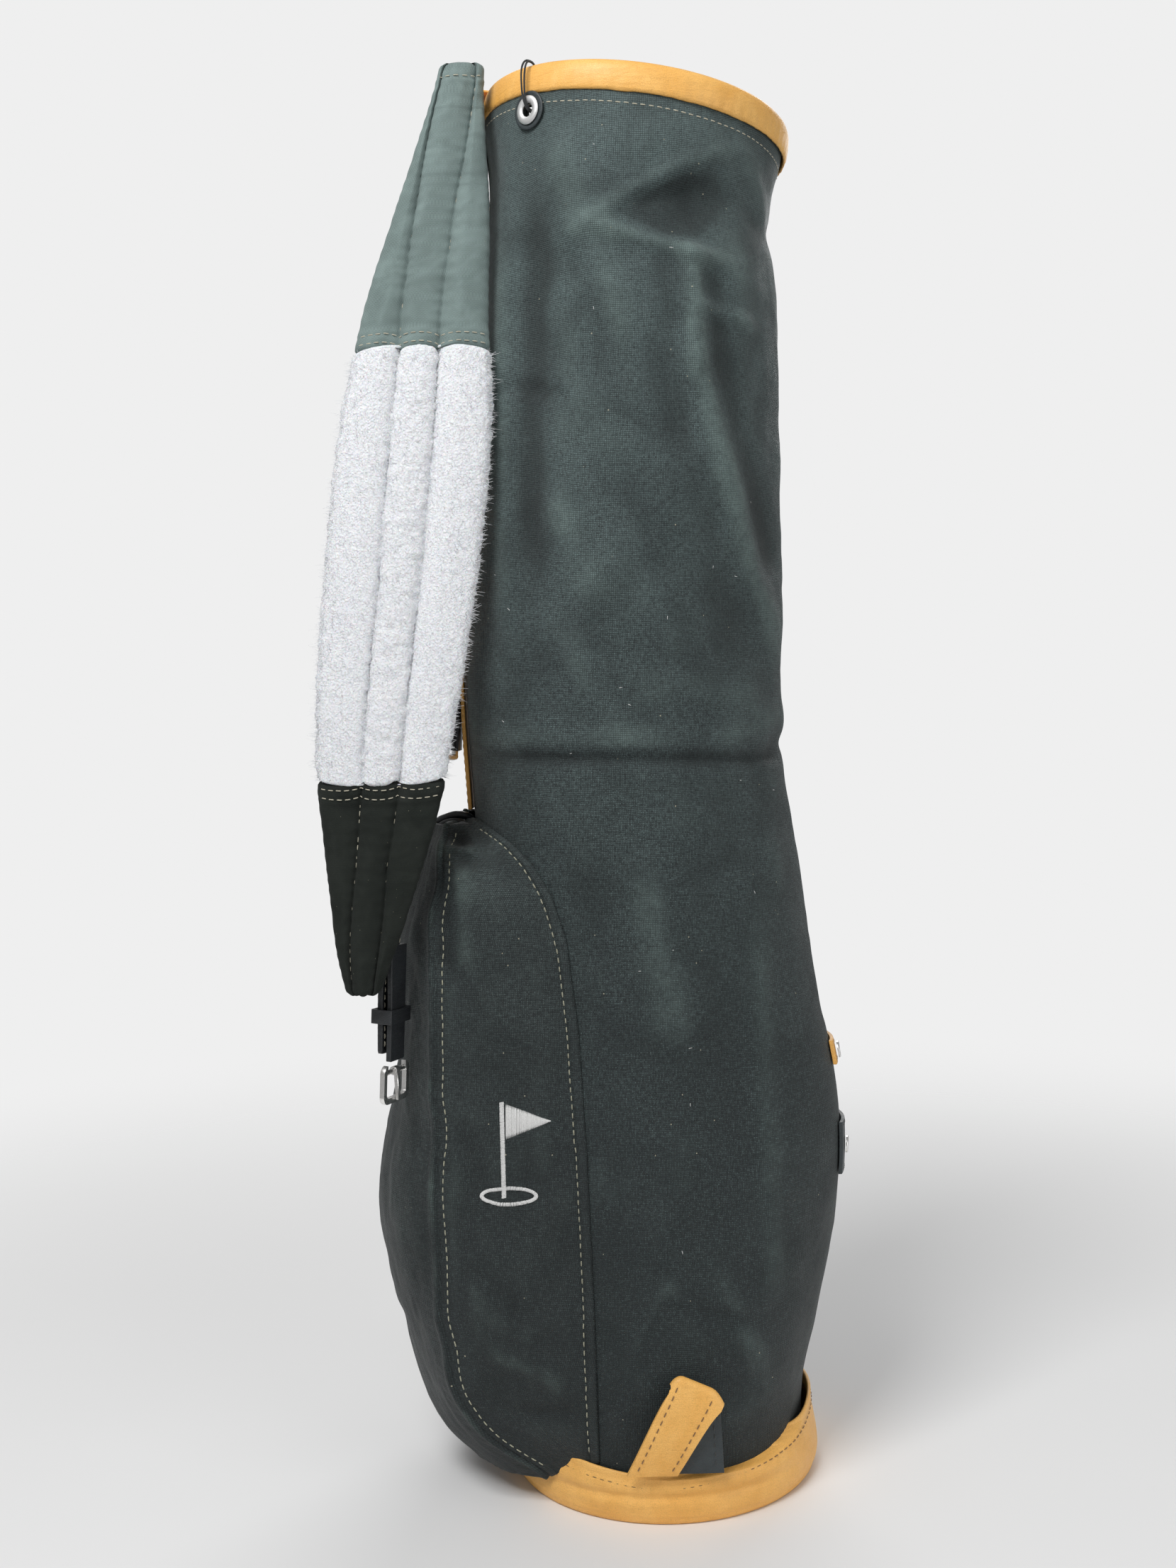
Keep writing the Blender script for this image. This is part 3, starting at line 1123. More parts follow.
def build_pocket():
    """The pocket's three cloths with their bands and seams, stitches, and the flag."""
    skin = pocket_outline()
    total = skin.shape[1]
    start, stop = GUSSET_COLS - 1, GUSSET_COLS - 1 + FRONT_COLS - 1
    index = np.arange(total)
    cross = np.where(index < start, -2 + index / start,
                     np.where(index > stop, 1 + (index - stop) / start,
                              (index - start) / (stop - start) * 2 - 1.0))
    cross = np.broadcast_to(cross, skin.shape[:2])
    run = run_along(skin)
    out = unit(np.cross(np.gradient(skin, axis=0), np.gradient(skin, axis=1)))
    x, y, z = [skin[..., k] for k in range(3)]
    out *= np.sign(((x + 110) * out[..., 0] + y * out[..., 1]).mean())
    out = calmed(out, 2.0)
    # distances from the sewn edges and from the two front seams
    rim = np.minimum(run, run[:, -1:] - run)
    seam = np.minimum(np.abs(run - run[:, start:start + 1]), np.abs(run - run[:, stop:stop + 1]))
    on_side = (index < start) | (index > stop)
    relief = pocket_relief(x, y, z, cross) * smoothstep(2, 16, rim) * (
        0.35 + 0.65 * smoothstep(2, 16, seam))
    band = smoothstep(BAND + 1.0, BAND - 0.6, rim) * smoothstep(-0.3, 1.2, rim)
    relief = relief + 1.3 * band - 0.5 * bell(rim, BAND + 1.4, 1.1)
    roll, groove = bell(seam, 0, 2.2), bell(seam, 3.2, 0.9)
    step = smoothstep(9.4, 8.0, seam) * on_side
    relief = relief + 1.1 * roll - 0.9 * groove * on_side + 0.4 * step
    relief -= 0.3 * bell(seam, 7.6, 0.8) * on_side
    pucker = 0.22 * np.sin(z * 0.95 + 2 * lattice(z / 20, 0 * z, 57))
    relief += pucker * (bell(seam, 8, 4) + bell(rim, BAND + 2, 4))
    points = skin + out * relief[..., None]
    flat = np.stack([run - run[:, total // 2:total // 2 + 1], z], axis=2)
    worn = np.clip(ridges(pocket_relief(x, y, z, cross), 8.0, 0.18)
                   + 0.35 * roll * (0.4 + lattice(z / 14, 0 * z, 58)), 0, 1)
    cuts = {"pocket_near_gusset": (0, start + 1), "pocket_front": (start, stop + 1),
            "pocket_far_gusset": (stop, total)}
    for node, (a, b) in cuts.items():
        obj = grid_piece(node + "_cloth", points[:, a:b], flat[:, a:b], wear=worn[:, a:b])
        finish_piece(thicken(obj, POCKET_T, 1.0), "bag", GUSSET, [node])
    rows = []
    for side in (slice(0, start + 1), slice(stop, total)):
        for gap, away in ((8.0, seam), (BAND + 1.6, rim)):
            picked, normals = [], []
            for i in range(CAP_ROWS + 4, len(skin) - CAP_ROWS - 2):
                nearest = np.argmin(np.abs(away[i, side] - gap))
                picked.append(points[i, side][nearest])
                normals.append(out[i, side][nearest])
            rows.append((gauss(np.array(picked), 1.5, 0), np.array(normals)))
    stitch_piece("pocket_stitches", rows, "bag", OLIVE_THREAD, (3.6, 1.8, 0.44))
    build_motif(points[:, :start + 1], out[:, :start + 1])


# a plain flag on a pole, embroidered in satin stitch: every thread is a pair of (x, z) ends
FLAG_POLE = (-100.0, 196.0, 256.0)           # x, foot and head
FLAG_TIP = (-70.0, 243.5)
FLAG_HEIGHT = 23.0
HOLE = (-97.0, 197.0, 17.0, 5.0)             # centre and half sizes of the ring at the foot
SATIN = 0.62                                 # spacing of the satin threads


HOLE_WALL = 1.3


def flag_threads():
    """The ends of every satin thread: pole, flag, and ring at the foot."""
    x0, foot, head = FLAG_POLE
    threads = [((x0 - 1.5, z), (x0 + 1.5, z + 0.5)) for z in np.arange(foot, head, SATIN)]
    for x in np.arange(x0 + 2.4, FLAG_TIP[0], SATIN):
        share = (FLAG_TIP[0] - x) / (FLAG_TIP[0] - x0)
        threads.append(((x, FLAG_TIP[1] - FLAG_HEIGHT / 2 * share),
                        (x + 0.4, FLAG_TIP[1] + FLAG_HEIGHT / 2 * share + 0.6)))
    for t in np.linspace(0, 2 * math.pi, int(2 * math.pi * HOLE[2] * 0.75 / SATIN)):
        way = (math.cos(t), math.sin(t))
        inner, outer = [(HOLE[0] + (HOLE[2] + d) * way[0], HOLE[1] + (HOLE[3] + d) * way[1])
                        for d in (-HOLE_WALL, HOLE_WALL)]
        threads.append((inner, outer))
    return threads


def build_motif(skin, out):
    """The flag, laid on the near gusset's folded cloth."""
    rows = []
    for ends in flag_threads():
        line, normals = [], []
        for share in (0, 0.5, 1):
            x, z = np.array(ends[0]) * (1 - share) + np.array(ends[1]) * share
            i = int(np.argmin(np.abs(skin[:, skin.shape[1] // 2, 2] - z)))
            order = np.argsort(skin[i, :, 0])
            place = [np.interp(x, skin[i, order, 0], skin[i, order, k]) for k in (0, 1)]
            line.append((*place, z))
            normals.append([np.interp(x, skin[i, order, 0], out[i, order, k]) for k in range(3)])
        rows.append((np.array(line) + np.array(normals) * 0.25, np.array(normals)))
    stitch_piece("pocket_flag_threads", rows, "bag", WHITE_THREAD, (None, 0, 0.40))


# ---- shoulder pad -----------------------------------------------------------------------
PADS = tree("strap_pad_upper", "strap_pad_middle", "strap_pad_lower")
# the two quilting seams: height, and how far across the pad each one runs, in half widths
SEAM_TABLE = np.array([(322, -0.68, 0.56), (338, -0.60, 0.48), (403, -0.39, 0.25),
                       (459, -0.29, 0.30), (560, -0.27, 0.27), (723, -0.33, 0.25),
                       (777, -0.42, 0.26), (829, -0.57, 0.31), (868, -0.72, 0.50),
                       (896, -0.80, 0.66)])


PAD_LOW = span_of("strap_pad_lower")[0]
PAD_HIGH = span_of("strap_pad_upper")[1]
JOIN_LOW, JOIN_HIGH = span_of("strap_pad_middle")
PAD_COLS = 200


def sample_pad():
    """Height, centre x, front y, back y and width of the pad, smoothed over height."""
    rows = []
    for z in np.linspace(PAD_LOW + 0.4, PAD_HIGH - 0.4, 150):
        fronts = [(x, hit(PADS, (x, -FAR, z), (0, 1, 0))) for x in np.arange(-225, -90, 0.75)]
        found = [(x, p[1]) for x, p in fronts if p is not None]
        if not found:            # a hairline gap between two lengths of the pad
            continue
        x0, x1 = found[0][0], found[-1][0]
        middle = (x0 + x1) / 2
        y0 = hit(PADS, (middle, -FAR, z), (0, 1, 0))[1]
        y1 = hit(PADS, (middle, FAR, z), (0, -1, 0))[1]
        rows.append((z, middle, y0, y1, x1 - x0))
    table = np.array(rows)
    table[:, 1:] = gauss(table[:, 1:], 2.0, 0)
    return table


PAD_TABLE = sample_pad()


def seam_at(k, z):
    """Where a quilting seam lies across the pad at a height."""
    return np.interp(z, SEAM_TABLE[:, 0], SEAM_TABLE[:, k + 1])


def channel_height(s, z):
    """Fullness across the pad, 0 at its edges, with a valley at each quilting seam."""
    bounds = [-1.0 + 0 * z, seam_at(0, z), seam_at(1, z), 1.0 + 0 * z]
    out = np.zeros(np.broadcast(s, z).shape)
    for a, b in zip(bounds, bounds[1:]):
        inside = (s >= a) & (s <= b)
        t = np.clip((s - a) / (b - a), 0, 1)
        crown = 1 - 0.10 * ((a + b) / 2) ** 2
        out = np.where(inside, crown * np.power(np.sin(math.pi * t), 0.50), out)
    shell = np.power(np.clip(1 - np.abs(s) ** 3.2, 0, 1), 0.42)
    return np.minimum(0.28 * shell + 0.72 * out, shell)


def pad_point(s, z, face, extra=0.0):
    """A point on the pad: s across from -1 to 1, a height, and which face (-1 near, 1 far)."""
    s, z, face = np.broadcast_arrays(np.asarray(s, float), np.asarray(z, float), face)
    x, y0, y1, width = [np.interp(z, PAD_TABLE[:, 0], PAD_TABLE[:, k]) for k in (1, 2, 3, 4)]
    half = (y1 - y0) / 2
    x = x + 2.6 * np.clip(s, 0, 1) * bell(z, 825, 42)
    near = (y0 + y1) / 2 + face * (half * channel_height(s, z) + extra * np.sqrt(1 - s ** 8))
    return np.stack([x + s * (width / 2 + 0.4 * extra), near, z], axis=-1)


def pad_ring(cols):
    """Places round the pad's outline: across, and face."""
    t = circle(cols)
    s = -np.cos(t)
    s = np.sign(s) * (1 - (1 - np.abs(s)) ** 0.88)
    return s, np.where(t < math.pi, -1.0, 1.0)


def quilting(s, z, seed):
    """Small puckers that run out from each quilting seam, and soft dimples."""
    relief = np.zeros(np.broadcast(s, z).shape)
    for k in (0, 1):
        c = seam_at(k, z)
        near = np.exp(-np.abs(s - c) / 0.13)
        wave = np.sin(z * 0.78 + 3 * lattice(z / 24, 0 * z + k, seed))
        relief += 0.55 * near * wave * (1 - np.exp(-np.abs(s - c) / 0.02))
    for edge in (-1, 1):
        near = np.exp(-np.abs(s - edge) / 0.10)
        relief += 0.35 * near * np.sin(z * 0.7 + 3 * lattice(z / 24, 0 * z, seed + 5))
    return relief + (0.8 * lattice(s * 2 + 8, z / 34, seed + 1)
                     + 0.35 * lattice(s * 5 + 8, z / 13, seed + 2))


def build_pad_part(name, node, z_low, z_high, material, hems, seed, step=1.6, fur=0.0):
    """One length of the pad. hems gives for each end how far its edge scallops and how thick
    its turned-over band is."""
    s, face = [row[None, :] for row in pad_ring(PAD_COLS)]
    level = np.linspace(z_low, z_high, int((z_high - z_low) / step))[:, None]
    wave = channel_height(s, 0 * s + (z_low if z_low > JOIN_LOW + 1.0 else z_high)) - 0.5
    (low_wave, low_band), (high_wave, high_band) = hems
    from_low, from_high = level - z_low, z_high - level
    z = level + low_wave * wave * np.exp(-from_low / 16) + high_wave * wave * np.exp(-from_high / 16)
    relief = quilting(s, z, seed) * (0.2 if fur else 1.0)
    for k in (0, 1):
        relief = relief - (1.6 if fur else 0.3) * bell(s, seam_at(k, z), 0.035)
    for away, band in ((from_low, low_band), (from_high, high_band)):
        if band:
            relief = relief + band * smoothstep(13.5, 12.5, away) - 0.5 * (
                bell(away, 4, 1.0) + bell(away, 9.5, 1.0))
    points = pad_point(s + 0 * z, z, face + 0 * z, relief + fur)
    if fur:
        rough = (0.55 * lattice(s * 24 + face * 9 + 40, z / 2.3, seed + 7)
                 + 0.40 * lattice(s * 45 + face * 5 + 9, z / 1.3, seed + 8)
                 + 0.6 * lattice(s * 9 + face * 3 + 9, z / 6, seed + 9))
        centre = points.mean(axis=1, keepdims=True)
        points = points + unit(points - centre) * rough[..., None]
    for k in (0, 1, -1, -2):
        pull = 0.80 if k in (0, -1) else 0.96
        centre = points[k].mean(axis=0)
        points[k] = centre + (points[k] - centre) * (pull, pull, 1)
    run = run_along(np.concatenate([points, points[:, :1]], axis=1))
    flat = np.stack([run, np.broadcast_to(level, run.shape)], axis=2)
    obj = grid_piece(name, points, flat, closed=True, caps=True,
                     wear=ridges(relief, 6.0, 0.4))
    finish_piece(obj, "shoulder_strap", material, [node])


def build_pads():
    build_pad_part("pad_upper_cloth", "strap_pad_upper", JOIN_HIGH + 0.2, PAD_HIGH - 0.3,
                   PAD_LIGHT, ((5.0, 0.9), (0.0, 0.7)), 61)
    build_pad_part("pad_fleece", "strap_pad_middle", JOIN_LOW - 1.0, JOIN_HIGH + 2.0,
                   FLEECE, ((-5.0, 0.0), (5.0, 0.0)), 71, step=1.15, fur=0.8)
    build_pad_part("pad_lower_cloth", "strap_pad_lower", PAD_LOW + 0.3, JOIN_LOW - 0.2,
                   PAD_DARK, ((-2.0, 0.0), (-5.0, 0.9)), 81)
    build_fibres()
    build_pad_stitches()


FIBRES = 15000
FIBRE_SIDES = 3


def build_fibres():
    """Short curled strands that stand out of the fleece, each a closed tapering form."""
    rng = np.random.default_rng(5)
    s = rng.uniform(-1, 1, FIBRES)
    edge = rng.uniform(0, 1, FIBRES) < 0.16
    s = np.where(edge, np.sign(s) * rng.uniform(0.93, 1.0, FIBRES), s)
    face = np.where(rng.uniform(0, 1, FIBRES) < 0.6, -1.0, 1.0)
    z = rng.uniform(JOIN_LOW + 1, JOIN_HIGH - 1, FIBRES)
    root = pad_point(s, z, face, 0.6)
    ahead = pad_point(np.clip(s + 0.01, -1, 1), z, face, 0.6) - pad_point(
        np.clip(s - 0.01, -1, 1), z, face, 0.6)
    out = unit(np.cross(ahead, (0, 0, 1.0)) * face[:, None])
    out = np.where((out[:, 1] * face)[:, None] < 0, -out, out)
    out = np.where((np.abs(s) > 0.965)[:, None], unit(np.stack(
        [np.sign(s), 0.3 * face, 0 * s], axis=1)), out)
    length = rng.gamma(5.0, 0.36, FIBRES) + 0.5 + 1.3 * edge * rng.uniform(0, 1, FIBRES)
    lean = unit(rng.normal(size=(FIBRES, 3)))
    curl = unit(rng.normal(size=(FIBRES, 3)))
    width = rng.uniform(0.13, 0.24, FIBRES)
    points = []
    for t in (0.0, 0.35, 0.7, 1.0):
        centre = (root + out * (length * t - 0.5)[:, None] + lean * (length * 0.55 * t)[:, None]
                  + curl * (length * 0.5 * t * t)[:, None])
        a = unit(np.cross(out, lean))
        b = unit(np.cross(out, a))
        thick = width * (1 - 0.75 * t)
        for k in range(FIBRE_SIDES):
            turn = 2 * math.pi * k / FIBRE_SIDES
            points.append(centre + (a * math.cos(turn) + b * math.sin(turn)) * thick[:, None])
    obj = joined_piece("fleece_fibres", np.stack(points, axis=1), tube_faces(4, FIBRE_SIDES))
    finish_piece(obj, "shoulder_strap", FIBRE)


def build_pad_stitches():
    """Both quilting seams of each cloth, two rows at each join, and one across the top."""
    low, high = JOIN_LOW, JOIN_HIGH
    rows = []
    for face in (-1.0, 1.0):
        for k in (0, 1):
            for z0, z1 in ((PAD_LOW + 8, low - 12), (high + 12, PAD_HIGH - 10)):
                z = np.linspace(z0, z1, 120)
                rows.append((pad_point(seam_at(k, z), z, face, 0.1), facing(z, 0, face, 0)))
        s = np.linspace(-0.95, 0.95, 90)
        for z, push in ((low - 4.0, -5.0), (low - 9.5, -5.0), (high + 4.0, 5.0), (high + 9.5, 5.0)):
            wave = channel_height(s, z + 0 * s) - 0.5
            line = pad_point(s, z + push * wave * 0.7, face, 0.8)
            rows.append((line, facing(s, 0, face, 0)))
        s = np.linspace(-0.9, 0.9, 30)
        rows.append((pad_point(s, PAD_HIGH - 9.5 + 0 * s, face, 0.5), facing(s, 0, face, 0)))
    stitch_piece("pad_stitches", rows, "shoulder_strap", CREAM_THREAD, (3.4, 1.7, 0.34))


# ---- leather straps and loops -----------------------------------------------------------
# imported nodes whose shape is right: material, rounding of their edges, names
DRESSED = [
    (TAN, 0.7, "spine_strip rim_tab"), (BLACK, 0.45, "lower_anchor upper_anchor"),
    (BLACK, 0.9, "end_tab strap_top_tab"), (BLACK, 0.5, "keeper_loop"),
    (NICKEL, 0.7, "buckle_frame"), (NICKEL, 0.4, "buckle_prong"),
    (NICKEL, 0.5, "adjuster_rivets zip_slider"), (ZIP_CLOTH, 0.3, "zip_tape"),
    (TAN, 0.4, "zip_pull"), (TAN, 0.5, "keeper_strap_upper keeper_anchor_upper"),
    (TEAL, 0.5, "keeper_strap_lower keeper_anchor_lower"), (PLYWOOD, 0.6, "base_board"),
    (NICKEL, 0, "keeper_snap_upper keeper_snap_lower lower_d_ring upper_d_ring"),
    (STEEL, 0, "rim_hoop")]


def dress_nodes():
    """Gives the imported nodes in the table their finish, with softened edges."""
    for material, edge, names in DRESSED:
        for name in names.split():
            obj = nodes[name]
            obj.data.materials.clear()
            obj.data.materials.append(material)
            if edge:
                weld = obj.modifiers.new("weld", "WELD")
                weld.merge_threshold = 0.01 * MM
                soften(obj, edge)


STRAP_SIDES = 28
STRAP_NOTCH = 0.9            # depth of the line along each edge


def strap_section(half, thick):
    """A flat strap's closed outline: across and through, with rounded edges, and a line along
    each edge where two layers meet."""
    t = circle(STRAP_SIDES) + math.pi / STRAP_SIDES
    across = blunt(np.cos(t), 0.35) * half
    through = blunt(np.sin(t), 0.55) * thick / 2
    pinch = STRAP_NOTCH * bell(through, 0, 0.12 * thick)
    return across * (1 - pinch / half), through


def strap_piece(name, path, sideways, half, thick):
    """A strap along a path. sideways is the direction of its width at each point."""
    path, sideways = np.array(path, float), unit(sideways)
    forward = unit(np.gradient(path, axis=0))
    normal = unit(np.cross(forward, sideways))
    half = np.broadcast_to(half, len(path))
    thick = np.broadcast_to(thick, len(path))
    rows = []
    for k, (at, side, up) in enumerate(zip(path, sideways, normal)):
        across, through = strap_section(half[k], thick[k])
        shrink = 0.94 if k in (0, len(path) - 1) else 1.0
        wave = 0.25 * float(lattice(np.array(k / 7.0 + 2), np.array(0.5), 93))
        rows.append(at + side * ((across * shrink + wave))[:, None]
                    + up * (through * shrink)[:, None])
    return grid_piece(name, np.array(rows), closed=True, caps=True)


def edge_rows(path, sideways, up, half, thick, inset, faces):
    """Lines for stitches along both edges of a strap, on the faces asked for."""
    rows = []
    for side in (-1, 1):
        for face in faces:
            line = path + sideways * (side * (half - inset))[:, None] + up * (
                face * (thick / 2 - 0.05))[:, None]
            rows.append((line, up * face))
    return rows


HANDLE_ROWS, HANDLE_SIDES = 110, 36


def build_handle():
    """The carry handle on the spine: flat sewn ends and a rolled, rounded middle."""
    surface = tree("carry_handle")
    low, high = box_of("carry_handle")
    line, thick = [], []
    for z in np.linspace(low[2] + 1.5, high[2] - 2.5, 60):
        a, b = hit(surface, (-FAR, 0, z), (1, 0, 0)), hit(surface, (-50, 0, z), (-1, 0, 0))
        line.append(((a[0] + b[0]) / 2, 0, z))
        thick.append(b[0] - a[0])
    path = resample(gauss(np.array(line), 1.5, 0), HANDLE_ROWS)
    thick = np.interp(np.linspace(0, 1, HANDLE_ROWS), np.linspace(0, 1, 60), thick)
    t = np.linspace(-1, 1, HANDLE_ROWS)
    middle = smoothstep(0.80, 0.5, np.abs(t))
    half = (high[1] - low[1]) / 2 * (1 - 0.16 * middle)
    slim = np.minimum(thick, 4.2) * (1 - middle) + np.minimum(thick * 1.05, 11.0) * middle
    side = facing(path, 0, 1, 0)
    forward = unit(np.gradient(path, axis=0))
    up = unit(np.cross(forward, side))
    rows = []
    a = circle(HANDLE_SIDES)
    for k in range(HANDLE_ROWS):
        power = 0.42 + 0.46 * middle[k]
        across = blunt(np.cos(a), power) * half[k]
        through = blunt(np.sin(a), power + 0.1) * slim[k] / 2
        wrinkle = 0.14 * math.sin(k * 1.9) * middle[k] * bell(a, math.pi * 1.5, 0.9)
        rows.append(path[k] + side[k] * across[:, None] + up[k] * (through + wrinkle)[:, None])
    obj = grid_piece("carry_handle_leather", np.array(rows), closed=True, caps=True)
    finish_piece(obj, "bag", TAN, ["carry_handle"])
    face = -np.sign(up[HANDLE_ROWS // 2][0])
    line_rows = edge_rows(path[3:-3], side[3:-3], up[3:-3], half[3:-3] * (1 - 0.14 * middle[3:-3]),
                          slim[3:-3] * (1 - 0.22 * middle[3:-3]), 2.4, (face,))
    stitch_piece("handle_stitches", line_rows, "bag", CREAM_THREAD, (3.4, 1.6, 0.38))


def build_spine():
    """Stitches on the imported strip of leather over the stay, and on the tab over the mouth."""
    surface = tree("spine_strip")
    low, high = box_of("spine_strip")
    rows = []
    for y in (low[1] + 3.0, high[1] - 3.0):
        line = hits(surface, [(-FAR, y, z) for z in np.linspace(low[2] + 3, high[2] - 3, 90)],
                    (1, 0, 0))
        out = unit(np.cross(np.gradient(line, axis=0), (0, -1.0, 0)))
        rows.append((line, out * np.sign(-out[:, :1])))
    stitch_piece("spine_stitches", rows, "bag", CREAM_THREAD)


def hinge_frame():
    """The strap's axis of swing: a point on it, its direction, and the strap's own two
    directions square to it."""
    joint = [joint for joint in frame["joints"] if joint["name"] == "strap_swing"][0]
    at, axis = np.array(joint["pos_m"]) / MM, unit(joint["axis"])
    low, high = box_of("adjuster_strap")
    away = (low + high) / 2 - at
    radial = unit(away - axis * (away @ axis))
    return at, axis, radial, np.cross(radial, axis)


# the adjuster's middle line: distance from the swing axis, and height above the lower ring
ADJUSTER = [(20.5, -14.0), (31.0, -18.0), (46.0, -27.0), (60.0, -40.0), (68.5, -58.0),
            (72.0, -82.0), (75.0, -112.0), (77.2, -145.0), (78.0, -178.0), (78.0, -205.5)]


ADJUSTER_ROWS = 120
TAN_STOP, BLACK_START = 46, 43           # rows where the tan length ends and the black begins


def build_adjuster():
    at, axis, radial, normal = hinge_frame()
    line = resample(spline([(r, h, 0) for r, h in ADJUSTER], ADJUSTER_ROWS), ADJUSTER_ROWS)
    path = at + radial * line[:, :1] + axis * line[:, 1:2]
    t = np.linspace(0, 1, ADJUSTER_ROWS)
    path = path + normal * (0.9 * np.sin(t * 9.0) * smoothstep(0.1, 0.4, t)
                            * smoothstep(1.0, 0.8, t))[:, None]
    forward = unit(np.gradient(path, axis=0))
    side = unit(np.cross(normal, forward))
    half = 8.6 + 0.7 * smoothstep(0.2, 0.7, t)
    thick = 6.4 - 1.6 * smoothstep(0.0, 0.2, t)
    upper = strap_piece("adjuster_leather", path[:TAN_STOP], side[:TAN_STOP], half[:TAN_STOP],
                        thick[:TAN_STOP])
    finish_piece(upper, "shoulder_strap", TAN, ["adjuster_strap"])
    lower = strap_piece("adjuster_end_leather", path[BLACK_START:], side[BLACK_START:],
                        half[BLACK_START:] * 0.97, thick[BLACK_START:] * 0.93)
    finish_piece(lower, "shoulder_strap", BLACK)
    rows = edge_rows(path[4:-2], side[4:-2], facing(path[4:-2], *normal), half[4:-2], thick[4:-2],
                     2.6, (-1, 1))
    stitch_piece("adjuster_stitches", rows, "shoulder_strap", CREAM_THREAD, (3.2, 1.6, 0.34))


# corners of the folded loop over the boot: where its two legs are sewn and where it folds
LOOP_LEFT, LOOP_RIGHT = (-28.0, 34.0), (2.6, 34.0)
FOLD_LEFT, FOLD_RIGHT = (-0.5, 92.5), (29.4, 79.5)
BACK_LEFT, BACK_RIGHT = (1.0, 34.0), (31.0, 34.0)
LOOP_T = 2.6


def loop_sheet(foot, head, y_foot, y_head, belly):
    """A leg of the loop between two slanted edges, standing off by belly in its middle."""
    s = np.linspace(0, 1, 44)[:, None]
    w = np.linspace(0, 1, 20)[None, :]
    corner = [[np.array(p) for p in pair] for pair in (foot, head)]
    low = corner[0][0] + (corner[0][1] - corner[0][0]) * w[..., None]
    high = corner[1][0] + (corner[1][1] - corner[1][0]) * w[..., None]
    flat = low + (high - low) * s[..., None]
    corner = np.clip((np.abs(2 * w - 1) - 0.55) / 0.45, 0, 1) ** 2
    flat[..., 1] -= 6.0 * corner * s ** 4
    y = y_foot + (y_head - y_foot) * s - belly * np.sin(math.pi * s) ** 0.8
    y = y + 0.25 * lattice(s * 3 + 3, w * 2 + 4, 95)
    return np.stack([flat[..., 0], y + 0 * w, flat[..., 1]], axis=2)


def build_foot_handle():
    y0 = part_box("foot_handle")[1][1] / MM            # face that lies against the bag
    front = loop_sheet((LOOP_LEFT, LOOP_RIGHT), (FOLD_LEFT, FOLD_RIGHT), y0 - 1.6, y0 - 5.5, 2.6)
    back = loop_sheet((BACK_LEFT, BACK_RIGHT), (FOLD_LEFT, FOLD_RIGHT), y0 + 0.4, y0 - 1.0, -0.3)
    turn = np.linspace(0, math.pi, 9)[1:-1]
    up = np.array([0.38, 0, 0.92])
    middle = (front[-1] + back[-1]) / 2
    reach = (front[-1] - back[-1]) / 2
    bend = [middle + reach * math.cos(t) + up * 3.4 * math.sin(t) for t in turn]
    outer = np.vstack([front, bend])
    tan = grid_piece("foot_handle_leather", outer)
    finish_piece(soften(thicken(tan, LOOP_T, 0.0), 0.7), "foot_loop", TAN,
                 ["foot_handle"])
    black = grid_piece("foot_handle_back_leather", np.vstack([bend[-1:], back[::-1]]))
    finish_piece(soften(thicken(black, LOOP_T, 0.0), 0.7), "foot_loop", TEAL,
                 ["foot_handle_back"])
    rows = []
    for sheet, gap in ((front, 3), (front, -4)):
        line = sheet[2:, gap] + (0, -LOOP_T / 2 - 0.05, 0)
        rows.append((line, facing(line, 0, -1.0, 0)))
    stitch_piece("foot_handle_stitches", rows, "foot_loop", DARK_TAN_THREAD, (3.4, 1.8, 0.40))
    line = back[3:, -4] + (0, -LOOP_T / 2 - 0.05, 0)
    stitch_piece("foot_handle_back_stitches", [(line, facing(line, 0, -1.0, 0))],
                 "foot_loop", DARK_THREAD, (3.4, 1.8, 0.40))


# ---- zip, eyelet, keepers, piping -------------------------------------------------------
def chamfered_block(centre, axes, size, cut):
    """A small block with cut corners: rings of eight points and two flat ends."""
    (a, b, c), (la, lb, lc) = axes, [v / 2 for v in size]
    ring = [(la - cut, lb), (-la + cut, lb), (-la, lb - cut), (-la, -lb + cut),
            (-la + cut, -lb), (la - cut, -lb), (la, -lb + cut), (la, lb - cut)]
    rows = [[centre + a * u * k + b * v * k + c * h for u, v in ring]
            for k, h in ((1, -lc), (1, lc - cut), (0.72, lc))]
    return np.array(rows).reshape(-1, 3)


def build_zip():
    """Two rows of interleaved teeth, and a row of stitches on each side of the tape."""
    middle = middle_of("zip_teeth")
    low, high = box_of("zip_teeth")
    up = np.array([0, 0, 1.0])
    out = unit([-0.0688, 1, 0])
    side = np.cross(up, out)
    length, pitch = high[2] - low[2], 2.4
    blocks = []
    faces = tube_faces(3, 8)
    faces[-2:] = [face[::-1] for face in faces[-2:]]
    for k in range(int(length / pitch) * 2):
        way = 1 if k % 2 else -1
        centre = middle + up * (-length / 2 + (k + 0.5) * pitch / 2) + side * way * 1.15
        blocks.append(chamfered_block(centre, (side, up, out), (3.0, 1.05, 1.9), 0.22))
    finish_piece(joined_piece("zip_teeth_metal", blocks, faces, smooth=False), "bag", NICKEL,
                 ["zip_teeth"])
    rows = []
    for way in (-1, 1):
        z = np.linspace(low[2], high[2], 100)
        line = middle + side * way * 10.6 + up * (z - middle[2])[:, None] - out * 0.75
        rows.append((line, facing(z, *out)))
    stitch_piece("zip_stitches", rows, "bag", OLIVE_THREAD, (3.2, 1.6, 0.34))


